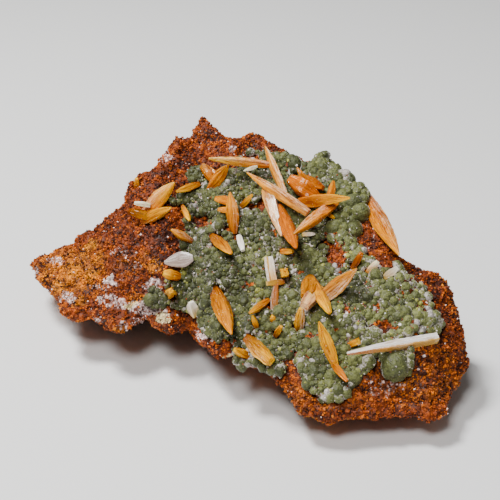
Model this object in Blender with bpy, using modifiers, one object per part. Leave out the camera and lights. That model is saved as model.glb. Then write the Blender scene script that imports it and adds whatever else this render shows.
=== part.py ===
"""Wulfenite with mimetite: a hand specimen of limonite rock whose face carries a crust of round
mimetite balls and steep, spindle-shaped wulfenite crystals.

Lengths are in metres and +Z is up. The rock stands on a flat facet at height zero, and the origin is
at the middle of the bottom of its bounding box.

Places on the face are read from a view of the specimen, on a square sheet of 500 by 500 units with
its corner at the top left. A place is a sheet position and a height above the floor: spot() follows
the line of sight through that sheet position down to that height.
"""

import math
import random
from collections import namedtuple

import bmesh
import bpy
from mathutils import Matrix, Vector, noise
from mathutils.bvhtree import BVHTree

MM = 0.001
SEED = 7

# The view that places are read from
SHEET_SIDE = 500
SHEET_MIDDLE = 250
SHEET_UNIT = 0.1732 * MM
EYE_DISTANCE = 204 * MM
EYE_RISE = math.radians(30)
AIM = Vector((2.3, -2.73, 22.5)) * MM

# The rock
ROCK_VOXEL = 0.75 * MM
ROCK_FACES = 2400
FACE_LEAN = math.radians(35)
FACE_SWELL = 1.2 * MM
UNDERCUT = 1.8
LEAST_UNDERCUT = 9 * MM
BACK_LEAN = 1.5 * MM
BACK_SWELL = 2.5 * MM
FOOT_CUT = 1.5 * MM
FOOT_LEFT = -21 * MM
FOOT_RIGHT = 33 * MM
WING_RISE = 0.3
END_RISE = 0.8
LEAST_FOOT = 4 * MM

# Where the swelling face of a section has its two middle points, as shares of the way from front to top
LOWER_FACE = 0.3
UPPER_FACE = 0.65
LOWER_SWELL = 0.8

# How far down the back of a section has its two middle points, and how far up the underside its front one
SHOULDER_DROP = 0.2
SHOULDER_SWELL = 0.7
BACK_DROP = 0.6
UNDERSIDE_RISE = 0.6

# The rock's relief: how many of a kind there are in a metre, and how far they stand out in millimetres
LUMP_PITCH = 130
LUMP_RISE = 1.3
KNOB_PITCH = 330
KNOB_RISE = 0.75
PIT_PITCH = 420
PIT_REACH = 0.5
PIT_FALL = 1.3
PIT_LEVEL = 0.35

# Where sections of the rock meet its front edge and the top edge of its face: sheet x, sheet y, height
SECTIONS = (
    ((40, 279, 8.2), (41, 255, 9.5)),
    ((53, 291, 8.4), (55, 253, 11.5)),
    ((60, 306, 8.8), (66, 251, 13.2)),
    ((72, 318, 9.0), (77, 246, 14.6)),
    ((86, 318, 9.2), (83, 232, 17.0)),
    ((98, 325, 9.6), (96, 229, 18.2)),
    ((111, 328, 9.6), (108, 217, 20.4)),
    ((123, 331, 9.5), (119, 206, 22.8)),
    ((133, 325, 9.7), (132, 202, 24.0)),
    ((143, 320, 9.8), (128, 187, 26.0)),
    ((151, 324, 9.6), (139, 174, 28.0)),
    ((160, 330, 9.5), (155, 171, 28.8)),
    ((173, 334, 9.3), (161, 156, 30.4)),
    ((183, 331, 9.3), (175, 143, 31.6)),
    ((192, 328, 9.4), (194, 134, 32.6)),
    ((200, 341, 9.2), (202, 121, 34.0)),
    ((208, 351, 9.0), (213, 129, 33.4)),
    ((221, 358, 9.0), (225, 138, 32.8)),
    ((232, 350, 9.2), (240, 135, 32.8)),
    ((240, 360, 9.0), (256, 134, 32.6)),
    ((252, 366, 9.0), (268, 141, 32.0)),
    ((266, 371, 8.8), (282, 149, 31.2)),
    ((279, 381, 8.4), (296, 158, 30.4)),
    ((290, 388, 8.0), (310, 163, 30.0)),
    ((293, 399, 7.4), (320, 156, 30.8)),
    ((303, 416, 6.4), (334, 156, 30.8)),
    ((318, 416, 6.2), (340, 170, 30.0)),
    ((332, 420, 5.8), (347, 180, 29.2)),
    ((347, 416, 5.9), (360, 186, 28.6)),
    ((362, 414, 6.0), (369, 196, 27.8)),
    ((383, 419, 5.6), (373, 220, 25.8)),
    ((404, 420, 5.4), (385, 243, 23.2)),
    ((428, 421, 5.4), (399, 258, 21.2)),
    ((443, 415, 5.4), (420, 264, 20.0)),
    ((445, 399, 5.8), (440, 274, 18.4)),
    ((456, 389, 6.0), (450, 293, 15.8)),
    ((463, 383, 6.2), (458, 314, 13.0)),
    ((465, 377, 6.5), (463, 337, 10.2)),
)
LEFT_TIP = (33, 265, 8.0)
RIGHT_TIP = (467, 371, 7.0)
BACK_EVENING = 4

# The mimetite: where the crust ends on the sheet, the bare places in it, and its balls
CRUST_OUTLINE = (
    (186, 171), (200, 169), (206, 183), (217, 186), (229, 168), (243, 158), (257, 149), (275, 151),
    (290, 153), (297, 166), (309, 169), (312, 160), (321, 154), (335, 155), (339, 168), (346, 178),
    (357, 183), (366, 191), (369, 204), (368, 217), (355, 223), (352, 246), (362, 252), (366, 262),
    (383, 268), (393, 271), (400, 262), (401, 246), (411, 246), (415, 262), (416, 278), (423, 288),
    (426, 302), (427, 314), (437, 321), (437, 334),
    (412, 344), (411, 352), (413, 366), (400, 378), (386, 374), (383, 358), (370, 360), (364, 374),
    (353, 374), (354, 386), (346, 397), (332, 400), (319, 398), (311, 391), (304, 371), (285, 368),
    (283, 377), (272, 371), (260, 366), (243, 366), (236, 350), (238, 338), (224, 339), (214, 343),
    (203, 334), (195, 326), (186, 316), (172, 312), (157, 312), (150, 300), (149, 284), (163, 283),
    (180, 272), (186, 262), (180, 246), (188, 232), (180, 220), (172, 210), (165, 202), (167, 194),
    (180, 194), (186, 185),
)
BARE_PLACES = (
    (203, 222, 9, 5), (262, 210, 6, 7), (330, 239, 5, 9), (335, 259, 8, 10), (253, 286, 6, 3),
    (384, 328, 8, 4), (376, 312, 5, 4), (405, 298, 4, 7),
)
BALL_PITCH = 9.0
ROW_PITCH = 0.87
BALL_JITTER = 2.6
BALL_RADII = (0.95 * MM, 1.4 * MM)
BALL_SINK = 0.25
BALL_DETAIL = 2
BIG_BALLS = (
    (195, 175, 1.4), (321, 163, 1.5), (332, 159, 1.3), (284, 164, 1.8), (344, 188, 1.4), (357, 193, 1.4),
    (347, 213, 1.6), (343, 237, 1.7), (352, 290, 1.8), (366, 297, 1.7), (395, 366, 2.4), (176, 287, 1.5),
    (194, 286, 1.4), (201, 272, 1.5), (245, 323, 1.5), (265, 321, 1.4), (317, 319, 1.4), (334, 322, 1.5),
    (295, 340, 1.3), (314, 371, 1.4), (344, 375, 1.4), (425, 322, 1.7), (240, 272, 1.3), (285, 253, 1.5),
)
BALL_VOXEL = 0.5 * MM
CRUST_VOXEL = 0.35 * MM
CRUST_FACES = 3900
GAP = 0.3 * MM
CRUST_GAP = 0.45 * MM

# The wulfenite. Root and tip are places (sheet x, sheet y, height); the width is in sheet units. The flat is
# the thickness as a share of the width, the belly is how far up it is widest, the root and tip shares are
# the width left at the two ends, and the roll turns the square section about the length, in degrees.
Crystal = namedtuple("Crystal", "root tip width flat belly root_share tip_share roll")
CRYSTALS = {
    "wulfenite_west_group": (
        Crystal((143, 215, 23.6), (174.5, 182.5, 28.8), 17, 0.65, 0.5, 0.5, 0.12, 30),
        Crystal((141, 222, 22.6), (171.5, 207.5, 25.8), 12, 0.75, 0.45, 0.5, 0.12, 50),
        Crystal((147, 216, 23.8), (128, 211, 24.8), 10, 0.7, 0.3, 0.9, 0.5, 45),
        Crystal((150, 205.5, 25.6), (134.5, 203, 26.4), 5, 0.8, 0.5, 0.9, 0.7, 45),
    ),
    "wulfenite_north_west": (Crystal((199, 184, 27.3), (176.5, 191.5, 27.8), 8, 0.8, 0.5, 0.6, 0.25, 40),),
    "wulfenite_north_pair": (
        Crystal((208.5, 190, 27.0), (228.5, 165, 31.2), 13, 0.7, 0.5, 0.4, 0.15, 30),
        Crystal((221, 184, 28.0), (202, 166, 29.8), 12, 0.7, 0.4, 0.7, 0.5, 45),
    ),
    "wulfenite_central_spray": (
        Crystal((271, 165, 31.5), (208.5, 158.5, 32.8), 10, 0.8, 0.45, 0.6, 0.2, 55),
        Crystal((287, 201, 28.85), (265, 146, 33.2), 9.5, 0.8, 0.55, 0.7, 0.15, 30),
        Crystal((308, 213, 28.0), (247, 172.5, 31.6), 12, 0.75, 0.4, 0.75, 0.12, 60),
        Crystal((266, 187, 29.7), (281.5, 236, 25.4), 14, 0.7, 0.3, 0.6, 0.15, 35),
        Crystal((279, 206, 27.7), (296, 248, 26.2), 15, 0.7, 0.6, 0.5, 0.2, 25),
        Crystal((336, 203, 28.2), (293, 234.5, 27.2), 13, 0.7, 0.45, 0.6, 0.12, 30),
        Crystal((300, 202, 27.8), (350, 198, 31.0), 13, 0.75, 0.35, 0.8, 0.15, 35),
        Crystal((317, 198, 28.6), (289, 178.5, 31.0), 18, 0.75, 0.5, 0.6, 0.5, 40),
        Crystal((303, 179, 29.2), (323, 188, 30.2), 11, 0.7, 0.4, 0.8, 0.4, 45),
        Crystal((307, 184, 29.2), (297, 167.5, 31.8), 6, 0.8, 0.4, 0.8, 0.2, 45),
        Crystal((329, 203, 28.5), (333.5, 181, 31.4), 8, 0.8, 0.5, 0.7, 0.3, 45),
        Crystal((257, 166.5, 31.6), (243.5, 171, 31.5), 4, 0.9, 0.4, 0.6, 0.2, 45),
    ),
    "wulfenite_spray_bit": (Crystal((326, 213, 26.0), (334, 218, 26.6), 4.5, 0.9, 0.5, 0.7, 0.5, 45),),
    "wulfenite_spray_foot": (Crystal((303, 234.5, 23.6), (315, 234, 25.0), 4.5, 0.9, 0.5, 0.7, 0.3, 45),),
    "wulfenite_middle_north": (Crystal((240, 208, 25.2), (252.5, 194.5, 28.2), 6, 0.9, 0.5, 0.5, 0.25, 45),),
    "wulfenite_middle_group": (
        Crystal((234.5, 234, 22.8), (230, 192, 29.2), 13, 0.75, 0.5, 0.4, 0.12, 30),
        Crystal((233, 202, 27.2), (215, 198.5, 27.4), 8, 0.8, 0.5, 0.9, 0.5, 45),
        Crystal((234, 211, 26.2), (218, 209.5, 26.2), 6, 0.8, 0.5, 0.9, 0.5, 45),
    ),
    "wulfenite_west_small": (Crystal((182, 204.5, 24.8), (189.5, 220.5, 24.4), 7, 0.8, 0.6, 0.4, 0.3, 35),),
    "wulfenite_west_spindle": (Crystal((194, 243, 20.6), (171, 229.5, 23.4), 9, 0.8, 0.55, 0.5, 0.25, 30),),
    "wulfenite_centre_west": (Crystal((211, 235, 22.4), (231.5, 253.5, 22.8), 12, 0.7, 0.4, 0.6, 0.25, 30),),
    "wulfenite_pale_middle": (Crystal((239, 236, 22.6), (243, 250.5, 21.9), 6, 0.8, 0.5, 0.8, 0.6, 45),),
    "wulfenite_rim_spear": (Crystal((366, 195.5, 27.2), (399, 255, 24.2), 18, 0.6, 0.45, 0.6, 0.1, 25),),
    "wulfenite_centre_bit": (Crystal((281.5, 251.5, 22.0), (293, 251.5, 23.0), 6.5, 0.9, 0.5, 0.7, 0.5, 45),),
    "wulfenite_blade": (Crystal((164.5, 262.5, 19.0), (193, 258, 20.4), 15, 0.3, 0.6, 0.2, 0.4, 45),),
    "wulfenite_west_block": (Crystal((180, 277, 17.4), (163.5, 273, 18.6), 12, 0.8, 0.6, 0.6, 0.5, 25),),
    "wulfenite_west_end_on": (Crystal((171, 294, 14.0), (170.5, 291, 17.6), 13, 0.9, 0.4, 0.9, 0.5, 20),),
    "wulfenite_glassy": (Crystal((195.5, 316, 11.8), (191, 302, 14.8), 12, 0.7, 0.5, 0.7, 0.5, 30),),
    "wulfenite_south_large": (Crystal((214, 286, 17.0), (231.5, 334, 15.2), 19, 0.7, 0.45, 0.45, 0.12, 25),),
    "wulfenite_pale_bars": (
        Crystal((269.5, 281, 18.8), (266, 257, 22.4), 5, 0.9, 0.5, 0.9, 0.7, 45),
        Crystal((274.5, 284, 18.7), (270.5, 256.5, 22.5), 6.5, 0.9, 0.5, 0.9, 0.7, 40),
        Crystal((284, 282, 19.0), (267, 283.5, 19.6), 6, 0.9, 0.5, 0.7, 0.7, 45),
        Crystal((273.5, 313, 15.2), (276, 281, 19.6), 9, 0.8, 0.4, 0.5, 0.4, 30),
    ),
    "wulfenite_bars_foot": (Crystal((273, 323, 14.2), (273, 315.5, 15.8), 6, 0.9, 0.5, 0.8, 0.6, 45),),
    "wulfenite_south_west": (Crystal((269, 300, 16.2), (249.5, 313, 16.8), 9, 0.8, 0.5, 0.5, 0.3, 30),),
    "wulfenite_south_small": (Crystal((257.5, 329, 13.2), (252.5, 315.5, 16.2), 6, 0.9, 0.5, 0.6, 0.3, 45),),
    "wulfenite_cube_centre": (Crystal((285, 275, 18.6), (284.5, 272.3, 21.8), 8, 1.0, 0.5, 1.0, 0.95, 45),),
    "wulfenite_banded": (Crystal((298.5, 331, 13.8), (301.5, 308.5, 18.6), 11, 0.8, 0.4, 0.7, 0.5, 35),),
    "wulfenite_south_bit": (Crystal((275.5, 336, 12.8), (281, 326.5, 15.6), 6, 0.9, 0.5, 0.7, 0.5, 45),),
    "wulfenite_rim_ribbed": (Crystal((250, 357, 10.2), (234.5, 349.5, 12.2), 10, 0.8, 0.5, 0.7, 0.5, 35),),
    "wulfenite_rim_chunk": (Crystal((247, 337, 12.6), (270.5, 362, 12.4), 16, 0.7, 0.6, 0.6, 0.7, 25),),
    "wulfenite_east_group": (
        Crystal((320, 300, 18.4), (357, 268.5, 24.0), 16, 0.65, 0.4, 0.6, 0.1, 35),
        Crystal((312, 278, 20.0), (329.5, 313, 20.2), 12, 0.75, 0.6, 0.6, 0.35, 25),
        Crystal((319, 288, 19.2), (304.5, 306, 19.8), 15, 0.75, 0.5, 0.8, 0.7, 35),
        Crystal((311, 275.5, 20.6), (307, 297, 19.8), 17, 0.6, 0.6, 0.3, 0.7, 40),
    ),
    "wulfenite_south_east_pair": (
        Crystal((337, 371, 11.4), (319, 321.5, 18.8), 13, 0.75, 0.55, 0.35, 0.12, 30),
        Crystal((334, 365, 12.4), (347, 381, 12.0), 7, 0.8, 0.4, 0.8, 0.4, 45),
    ),
    "wulfenite_cube_east": (Crystal((349.5, 345, 14.0), (358.5, 341, 15.4), 7, 0.9, 0.5, 1.0, 0.95, 40),),
    "wulfenite_pale_prism": (Crystal((437, 338, 14.0), (347.5, 353.5, 15.6), 12, 0.9, 0.3, 0.95, 0.3, 15),),
    "wulfenite_east_brown": (Crystal((352.5, 269, 21.4), (362, 252.5, 24.2), 7, 0.9, 0.5, 0.7, 0.5, 45),),
    "wulfenite_east_pale": (Crystal((367.5, 273, 21.0), (378, 262, 23.4), 8, 0.8, 0.5, 0.7, 0.6, 30),),
    "wulfenite_east_white": (Crystal((383.5, 278, 20.8), (397.5, 267.5, 22.6), 8, 0.8, 0.5, 0.7, 0.5, 30),),
    "wulfenite_rim_grain": (Crystal((137, 187.5, 26.2), (136.5, 178.5, 28.2), 5.5, 0.9, 0.5, 0.8, 0.6, 45),),
}
LARGE_WIDTH = 9
LARGE_CUTS = 4
SMALL_CUTS = 2
TAPER = 1.7

# How much a seat's half width grows for a gap: the corner of a square is this much further out than its side
SEAT_SPREAD = 1.45

# Colours (linear) and roughness
LIMONITE = ((0.28, 0.07, 0.012), 0.85)
MIMETITE = ((0.17, 0.2, 0.13), 0.45)
WULFENITE = ((0.7, 0.27, 0.03), 0.25)
PALE_WULFENITE = ((0.75, 0.6, 0.5), 0.22)
PALE_CRYSTALS = ("pale_middle", "blade", "glassy", "pale_prism", "spray_foot", "pale_bars", "east_white")


def sight(x, y):
    """The eye, and the direction of the line of sight through a sheet position."""
    ahead = Vector((0, math.cos(EYE_RISE), -math.sin(EYE_RISE)))
    over = Vector((0, math.sin(EYE_RISE), math.cos(EYE_RISE)))
    eye = AIM - EYE_DISTANCE * ahead
    across = (x - SHEET_MIDDLE) * SHEET_UNIT / EYE_DISTANCE
    up = (SHEET_MIDDLE - y) * SHEET_UNIT / EYE_DISTANCE
    return eye, ahead + up * over + Vector((across, 0, 0))


def spot(x, y, height):
    """The point at this height, in millimetres, on the line of sight through a sheet position."""
    eye, ray = sight(x, y)
    return eye + ray * ((height * MM - eye.z) / ray.z)


def new_object(name, mesh, collection):
    made = bpy.data.objects.new(name, mesh)
    collection.objects.link(made)
    return made


def mesh_from(bm, name):
    mesh = bpy.data.meshes.new(name)
    bm.to_mesh(mesh)
    bm.free()
    return mesh


def baked(made):
    """Puts the result of an object's modifiers into its mesh."""
    graph = bpy.context.evaluated_depsgraph_get()
    mesh = bpy.data.meshes.new_from_object(made.evaluated_get(graph))
    made.modifiers.clear()
    made.data = mesh


def even_skin(made, voxel):
    """Remakes a closed skin in even faces of about this size, and joins what overlaps."""
    remesh = made.modifiers.new("even skin", "REMESH")
    remesh.mode = "VOXEL"
    remesh.voxel_size = voxel
    baked(made)


def foot_height(x):
    """The height of the rock's underside: below the floor, where it is cut flat, and rising to both ends."""
    rise = max((FOOT_LEFT - x) * WING_RISE, (x - FOOT_RIGHT) * END_RISE, 0)
    return rise - FOOT_CUT


def section(front, top, back):
    """The ring of points of one section of the rock, from its front edge up the face and round."""
    swell = Vector((0, -math.sin(FACE_LEAN), math.cos(FACE_LEAN))) * FACE_SWELL
    middle = (front.x + top.x) / 2
    low = foot_height(middle)
    foot_front = front.y + max(LEAST_UNDERCUT, UNDERCUT * (front.z - low))
    foot_back = max(back - BACK_LEAN, foot_front + LEAST_FOOT)
    foot_front = min(foot_front, foot_back - LEAST_FOOT)
    drop = top.z - low
    return (
        front,
        front.lerp(top, LOWER_FACE) + swell * LOWER_SWELL,
        front.lerp(top, UPPER_FACE) + swell,
        top,
        Vector((top.x, max(top.y, back) + SHOULDER_SWELL * BACK_SWELL, top.z - SHOULDER_DROP * drop)),
        Vector((middle, back + BACK_SWELL, top.z - BACK_DROP * drop)),
        Vector((middle, foot_back, low)),
        Vector((middle, foot_front, low)),
        Vector((front.x, (front.y + foot_front) / 2, low + UNDERSIDE_RISE * (front.z - low))),
    )


def rock_cage():
    """The sections joined one to the next, with both ends drawn to a point."""
    bm = bmesh.new()
    rings = []
    tops = [spot(*top_place) for _, top_place in SECTIONS]
    for i, (front_place, _) in enumerate(SECTIONS):
        beside = tops[max(0, i - BACK_EVENING) : i + BACK_EVENING + 1]
        back = sum(top.y for top in beside) / len(beside)
        corners = [bm.verts.new(point) for point in section(spot(*front_place), tops[i], back)]
        rings.append([bm.edges.new(pair) for pair in zip(corners, corners[1:] + corners[:1])])
    for first, second in zip(rings, rings[1:]):
        bmesh.ops.bridge_loops(bm, edges=first + second)
    for ring, tip in ((rings[0], LEFT_TIP), (rings[-1], RIGHT_TIP)):
        end = bmesh.ops.contextual_create(bm, geom=ring)["faces"]
        bmesh.ops.poke(bm, faces=end)["verts"][0].co = spot(*tip)
    bmesh.ops.recalc_face_normals(bm, faces=bm.faces)
    return bm


def rock_relief(point):
    """How far the rock's skin stands out at a point, in millimetres: lumps, knobs and pits."""
    lumps = noise.noise(point * LUMP_PITCH) * LUMP_RISE
    knobs = noise.fractal(point * KNOB_PITCH, 1.0, 2.0, 3) * KNOB_RISE
    pits = min(noise.voronoi(point * PIT_PITCH)[0][0], PIT_REACH) * PIT_FALL - PIT_LEVEL
    return lumps + knobs + pits


def make_rock(collection):
    rock = new_object("limonite_matrix", mesh_from(rock_cage(), "limonite_matrix"), collection)
    even_skin(rock, ROCK_VOXEL)
    bm = bmesh.new()
    bm.from_mesh(rock.data)
    bm.normal_update()
    moved = [(v, v.co + v.normal * rock_relief(v.co) * MM) for v in bm.verts]
    for v, place in moved:
        v.co = place
    bm.to_mesh(rock.data)
    bm.free()
    thin_out(rock, ROCK_FACES)
    return rock


def inside(x, y, outline):
    """Whether a sheet position lies inside a closed outline."""
    crossings = 0
    for (x1, y1), (x2, y2) in zip(outline, outline[1:] + outline[:1]):
        if (y1 > y) != (y2 > y) and x < x1 + (y - y1) * (x2 - x1) / (y2 - y1):
            crossings += 1
    return crossings % 2 == 1


def is_bare(x, y):
    return any(((x - cx) / rx) ** 2 + ((y - cy) / ry) ** 2 < 1 for cx, cy, rx, ry in BARE_PLACES)


def ball_places(rng):
    """Sheet positions and radii of the balls of the crust: the big ones, and rows of others between."""
    balls = [(x, y, radius * MM) for x, y, radius in BIG_BALLS]
    for row in range(int(SHEET_SIDE / BALL_PITCH)):
        for column in range(int(SHEET_SIDE / BALL_PITCH)):
            x = (column + 0.5 * (row % 2)) * BALL_PITCH + rng.uniform(-BALL_JITTER, BALL_JITTER)
            y = row * ROW_PITCH * BALL_PITCH + rng.uniform(-BALL_JITTER, BALL_JITTER)
            if inside(x, y, CRUST_OUTLINE) and not is_bare(x, y):
                balls.append((x, y, rng.uniform(*BALL_RADII)))
    return balls


def make_crust(name, skin, collection):
    """The crust of round balls that sit on the skin of the rock, joined into one closed lump."""
    rng = random.Random(SEED)
    bm = bmesh.new()
    for x, y, radius in ball_places(rng):
        eye, ray = sight(x, y)
        place, normal, _, _ = skin.ray_cast(eye, ray.normalized())
        if place:
            at = Matrix.Translation(place + normal * (radius * BALL_SINK))
            bmesh.ops.create_icosphere(bm, subdivisions=BALL_DETAIL, radius=radius, matrix=at)
    crust = new_object(name, mesh_from(bm, name), collection)
    even_skin(crust, BALL_VOXEL)
    keep_largest(crust)
    return crust


def thin_out(made, faces):
    """Merges faces until about this many triangles are left."""
    triangles = sum(len(face.vertices) - 2 for face in made.data.polygons)
    thin = made.modifiers.new("fewer faces", "DECIMATE")
    thin.ratio = min(1.0, faces / triangles)
    baked(made)


def islands(bm):
    """The separate pieces of a mesh, each as its faces."""
    left = set(bm.faces)
    while left:
        found = {left.pop()}
        edge_of = list(found)
        while edge_of:
            face = edge_of.pop()
            for edge in face.edges:
                for other in edge.link_faces:
                    if other in left:
                        left.remove(other)
                        found.add(other)
                        edge_of.append(other)
        yield found


def keep_largest(made):
    """Removes every piece of the mesh but the largest."""
    bm = bmesh.new()
    bm.from_mesh(made.data)
    pieces = sorted(islands(bm), key=lambda faces: sum(face.calc_area() for face in faces))
    for piece in pieces[:-1]:
        bmesh.ops.delete(bm, geom=list({v for face in piece for v in face.verts}), context="VERTS")
    bm.to_mesh(made.data)
    bm.free()


def grown(made, by, collection):
    """A copy of a solid whose skin stands out by a distance, to cut its seat from a neighbour."""
    copy = new_object(made.name + "_seat", made.data.copy(), collection)
    bm = bmesh.new()
    bm.from_mesh(copy.data)
    bm.normal_update()
    moved = [(v, v.co + v.normal * by * v.calc_shell_factor()) for v in bm.verts]
    for v, place in moved:
        v.co = place
    bm.to_mesh(copy.data)
    bm.free()
    return copy


def cut(made, cutter):
    """Takes a closed cutter away from a solid, and keeps what is left in one piece."""
    boolean = made.modifiers.new("seat", "BOOLEAN")
    boolean.operation = "DIFFERENCE"
    boolean.solver = "EXACT"
    boolean.object = cutter
    baked(made)
    keep_largest(made)


def girth(crystal, share):
    """The width at a share of the way from root to tip, as a part of the full width."""
    if share < crystal.belly:
        away = 1 - share / crystal.belly
        end = crystal.root_share
    else:
        away = (share - crystal.belly) / (1 - crystal.belly)
        end = crystal.tip_share
    return 1 - (1 - end) * away**TAPER


def make_crystal(name, crystal, more, collection):
    """One four-sided spindle between its root and its tip, or its seat, which stands out by more."""
    root = spot(*crystal.root)
    tip = spot(*crystal.tip)
    eye, _ = sight(SHEET_MIDDLE, SHEET_MIDDLE)
    along = (tip - root).normalized()
    root = root - along * more
    tip = tip + along * more
    across = along.cross(eye - root).normalized()
    deep = across.cross(along)
    half = 0.5 * crystal.width * SHEET_UNIT * (eye - root).length / EYE_DISTANCE
    bm = bmesh.new()
    bmesh.ops.create_cube(bm, size=2)
    long_edges = [edge for edge in bm.edges if abs(edge.verts[0].co.z - edge.verts[1].co.z) > 1]
    cuts = LARGE_CUTS if crystal.width > LARGE_WIDTH else SMALL_CUTS
    bmesh.ops.subdivide_edges(bm, edges=long_edges, cuts=cuts)
    turn = Matrix.Rotation(math.radians(crystal.roll - 45), 3, "Z")
    corners = [turn @ Vector((x, y, 0)) for x in (-1, 1) for y in (-1, 1)]
    reach = max(corner.x for corner in corners)
    for v in bm.verts:
        share = (v.co.z + 1) / 2
        corner = turn @ Vector((v.co.x, v.co.y, 0)) / reach
        stout = half * girth(crystal, share)
        side = across * corner.x * (stout + SEAT_SPREAD * more)
        front = deep * corner.y * (stout * crystal.flat + SEAT_SPREAD * more)
        v.co = root.lerp(tip, share) + side + front
    bm.normal_update()
    bmesh.ops.recalc_face_normals(bm, faces=bm.faces)
    return new_object(name, mesh_from(bm, name), collection)


def make_crystals(collection, cutters, seats):
    """Every crystal or group of crystals as one solid, with its seats in the seat collection."""
    made = []
    for name, group in CRYSTALS.items():
        for crystal in group:
            make_crystal(name + "_seat", crystal, GAP, seats)
        first = make_crystal(name, group[0], 0, collection)
        for crystal in group[1:]:
            join(first, make_crystal(name + "_part", crystal, 0, cutters))
        made.append(first)
    return made


def join(made, other):
    """Adds another closed solid to this one."""
    boolean = made.modifiers.new("join", "BOOLEAN")
    boolean.operation = "UNION"
    boolean.solver = "EXACT"
    boolean.object = other
    baked(made)


def cut_all(made, cutters):
    """Takes all solids of a collection away from this one, and keeps what is left in one piece."""
    boolean = made.modifiers.new("seats", "BOOLEAN")
    boolean.operation = "DIFFERENCE"
    boolean.solver = "EXACT"
    boolean.operand_type = "COLLECTION"
    boolean.collection = cutters
    baked(made)
    keep_largest(made)


def paint(made, colour, roughness):
    material = bpy.data.materials.get(made.name) or bpy.data.materials.new(made.name)
    material.use_nodes = True
    shader = material.node_tree.nodes["Principled BSDF"]
    shader.inputs["Base Color"].default_value = (*colour, 1)
    shader.inputs["Roughness"].default_value = roughness
    shader.inputs["Metallic"].default_value = 0
    made.data.materials.clear()
    made.data.materials.append(material)


def stand_flat(rock):
    """Cuts the rock off level with the floor, so that it has a flat foot."""
    bm = bmesh.new()
    bm.from_mesh(rock.data)
    everything = bm.verts[:] + bm.edges[:] + bm.faces[:]
    floor = bmesh.ops.bisect_plane(
        bm, geom=everything, plane_co=(0, 0, 0), plane_no=(0, 0, 1), clear_inner=True
    )
    rim = [part for part in floor["geom_cut"] if isinstance(part, bmesh.types.BMEdge)]
    bmesh.ops.contextual_create(bm, geom=rim)
    bmesh.ops.recalc_face_normals(bm, faces=bm.faces)
    bm.to_mesh(rock.data)
    bm.free()


def main():
    for old in list(bpy.data.objects):
        bpy.data.objects.remove(old)
    collection = bpy.data.collections.new("Wulfenite with mimetite")
    cutters = bpy.data.collections.new("Cutters")
    seats = bpy.data.collections.new("Seats")
    bpy.context.scene.collection.children.link(collection)
    bpy.context.scene.collection.children.link(cutters)
    cutters.children.link(seats)
    rock = make_rock(collection)
    stand_flat(rock)
    skin = BVHTree.FromObject(rock, bpy.context.evaluated_depsgraph_get())
    crust = make_crust("mimetite_crust", skin, collection)
    rock_seat = grown(rock, CRUST_GAP, cutters)
    crystals = make_crystals(collection, cutters, seats)
    cut(crust, rock_seat)
    cut_all(crust, seats)
    even_skin(crust, CRUST_VOXEL)
    keep_largest(crust)
    thin_out(crust, CRUST_FACES)
    paint(crust, *MIMETITE)
    cut_all(rock, seats)
    paint(rock, *LIMONITE)
    for crystal in crystals:
        pale = crystal.name.removeprefix("wulfenite_") in PALE_CRYSTALS
        paint(crystal, *(PALE_WULFENITE if pale else WULFENITE))
    for cutter in cutters.all_objects:
        cutter.hide_render = True
        cutter.display_type = "WIRE"


main()
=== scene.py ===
"""Looks of a wulfenite with mimetite specimen: granular limonite rock, a crust of mimetite balls and
spindles of wulfenite, on a plain floor.

Lengths are in metres and +Z is up. A place on the face is a sheet position, read from the view of the
specimen on a square sheet of 500 units, and a height above the floor in millimetres, as in the part's
source.
"""

import math
from collections import namedtuple

import bmesh
import bpy
import numpy as np
from bpy.props import FloatProperty, FloatVectorProperty, IntProperty, PointerProperty
from mathutils import Matrix, Vector, noise
from mathutils.bvhtree import BVHTree


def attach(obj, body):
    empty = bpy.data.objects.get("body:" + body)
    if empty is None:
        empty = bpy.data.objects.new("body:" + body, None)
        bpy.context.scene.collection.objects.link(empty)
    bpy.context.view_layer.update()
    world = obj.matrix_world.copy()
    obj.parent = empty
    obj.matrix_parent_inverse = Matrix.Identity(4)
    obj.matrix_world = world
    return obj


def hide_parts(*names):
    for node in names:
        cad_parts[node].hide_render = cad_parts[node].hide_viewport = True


bl_info = {
    "name": "Wulfenite with mimetite",
    "version": (1, 0, 0),
    "blender": (4, 5, 0),
    "location": "3D View > Sidebar > Specimen",
    "description": "Dresses the solids of a wulfenite with mimetite specimen",
    "category": "Object",
}

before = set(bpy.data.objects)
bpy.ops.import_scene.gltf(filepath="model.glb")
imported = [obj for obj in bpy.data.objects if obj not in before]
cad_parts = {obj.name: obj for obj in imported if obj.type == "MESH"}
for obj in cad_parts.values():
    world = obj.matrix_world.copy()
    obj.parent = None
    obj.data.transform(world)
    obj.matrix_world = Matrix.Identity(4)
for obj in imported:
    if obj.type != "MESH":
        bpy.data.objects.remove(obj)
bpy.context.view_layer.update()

MM = 0.001
SEED = 11

# The view that places are read from, which is the camera's too
SHEET_MIDDLE = 250
SHEET_UNIT = 0.1732 * MM
EYE_DISTANCE = 204 * MM
EYE_RISE = math.radians(30)
AIM = Vector((2.3, -2.73, 22.5)) * MM
AHEAD = Vector((0, math.cos(EYE_RISE), -math.sin(EYE_RISE)))
OVER = Vector((0, math.sin(EYE_RISE), math.cos(EYE_RISE)))
EYE = AIM - EYE_DISTANCE * AHEAD

# Colours of the wulfenite (linear)
BROWN = (0.2, 0.045, 0.0)
AMBER = (0.38, 0.09, 0.0)
ORANGE = (0.57, 0.145, 0.0)
YELLOW = (0.76, 0.29, 0.0)
GOLD = (0.82, 0.4, 0.0)
STRAW = (0.76, 0.44, 0.03)
TAN = (0.42, 0.15, 0.0)
PINK = (0.56, 0.24, 0.05)
ROSE = (0.72, 0.42, 0.25)
LILAC = (0.42, 0.32, 0.3)
WHITE = (0.97, 0.9, 0.84)
# How far the pale prism's side is whitened: a painted glare on its top face
PRISM_GLARE = 3.0
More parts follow.
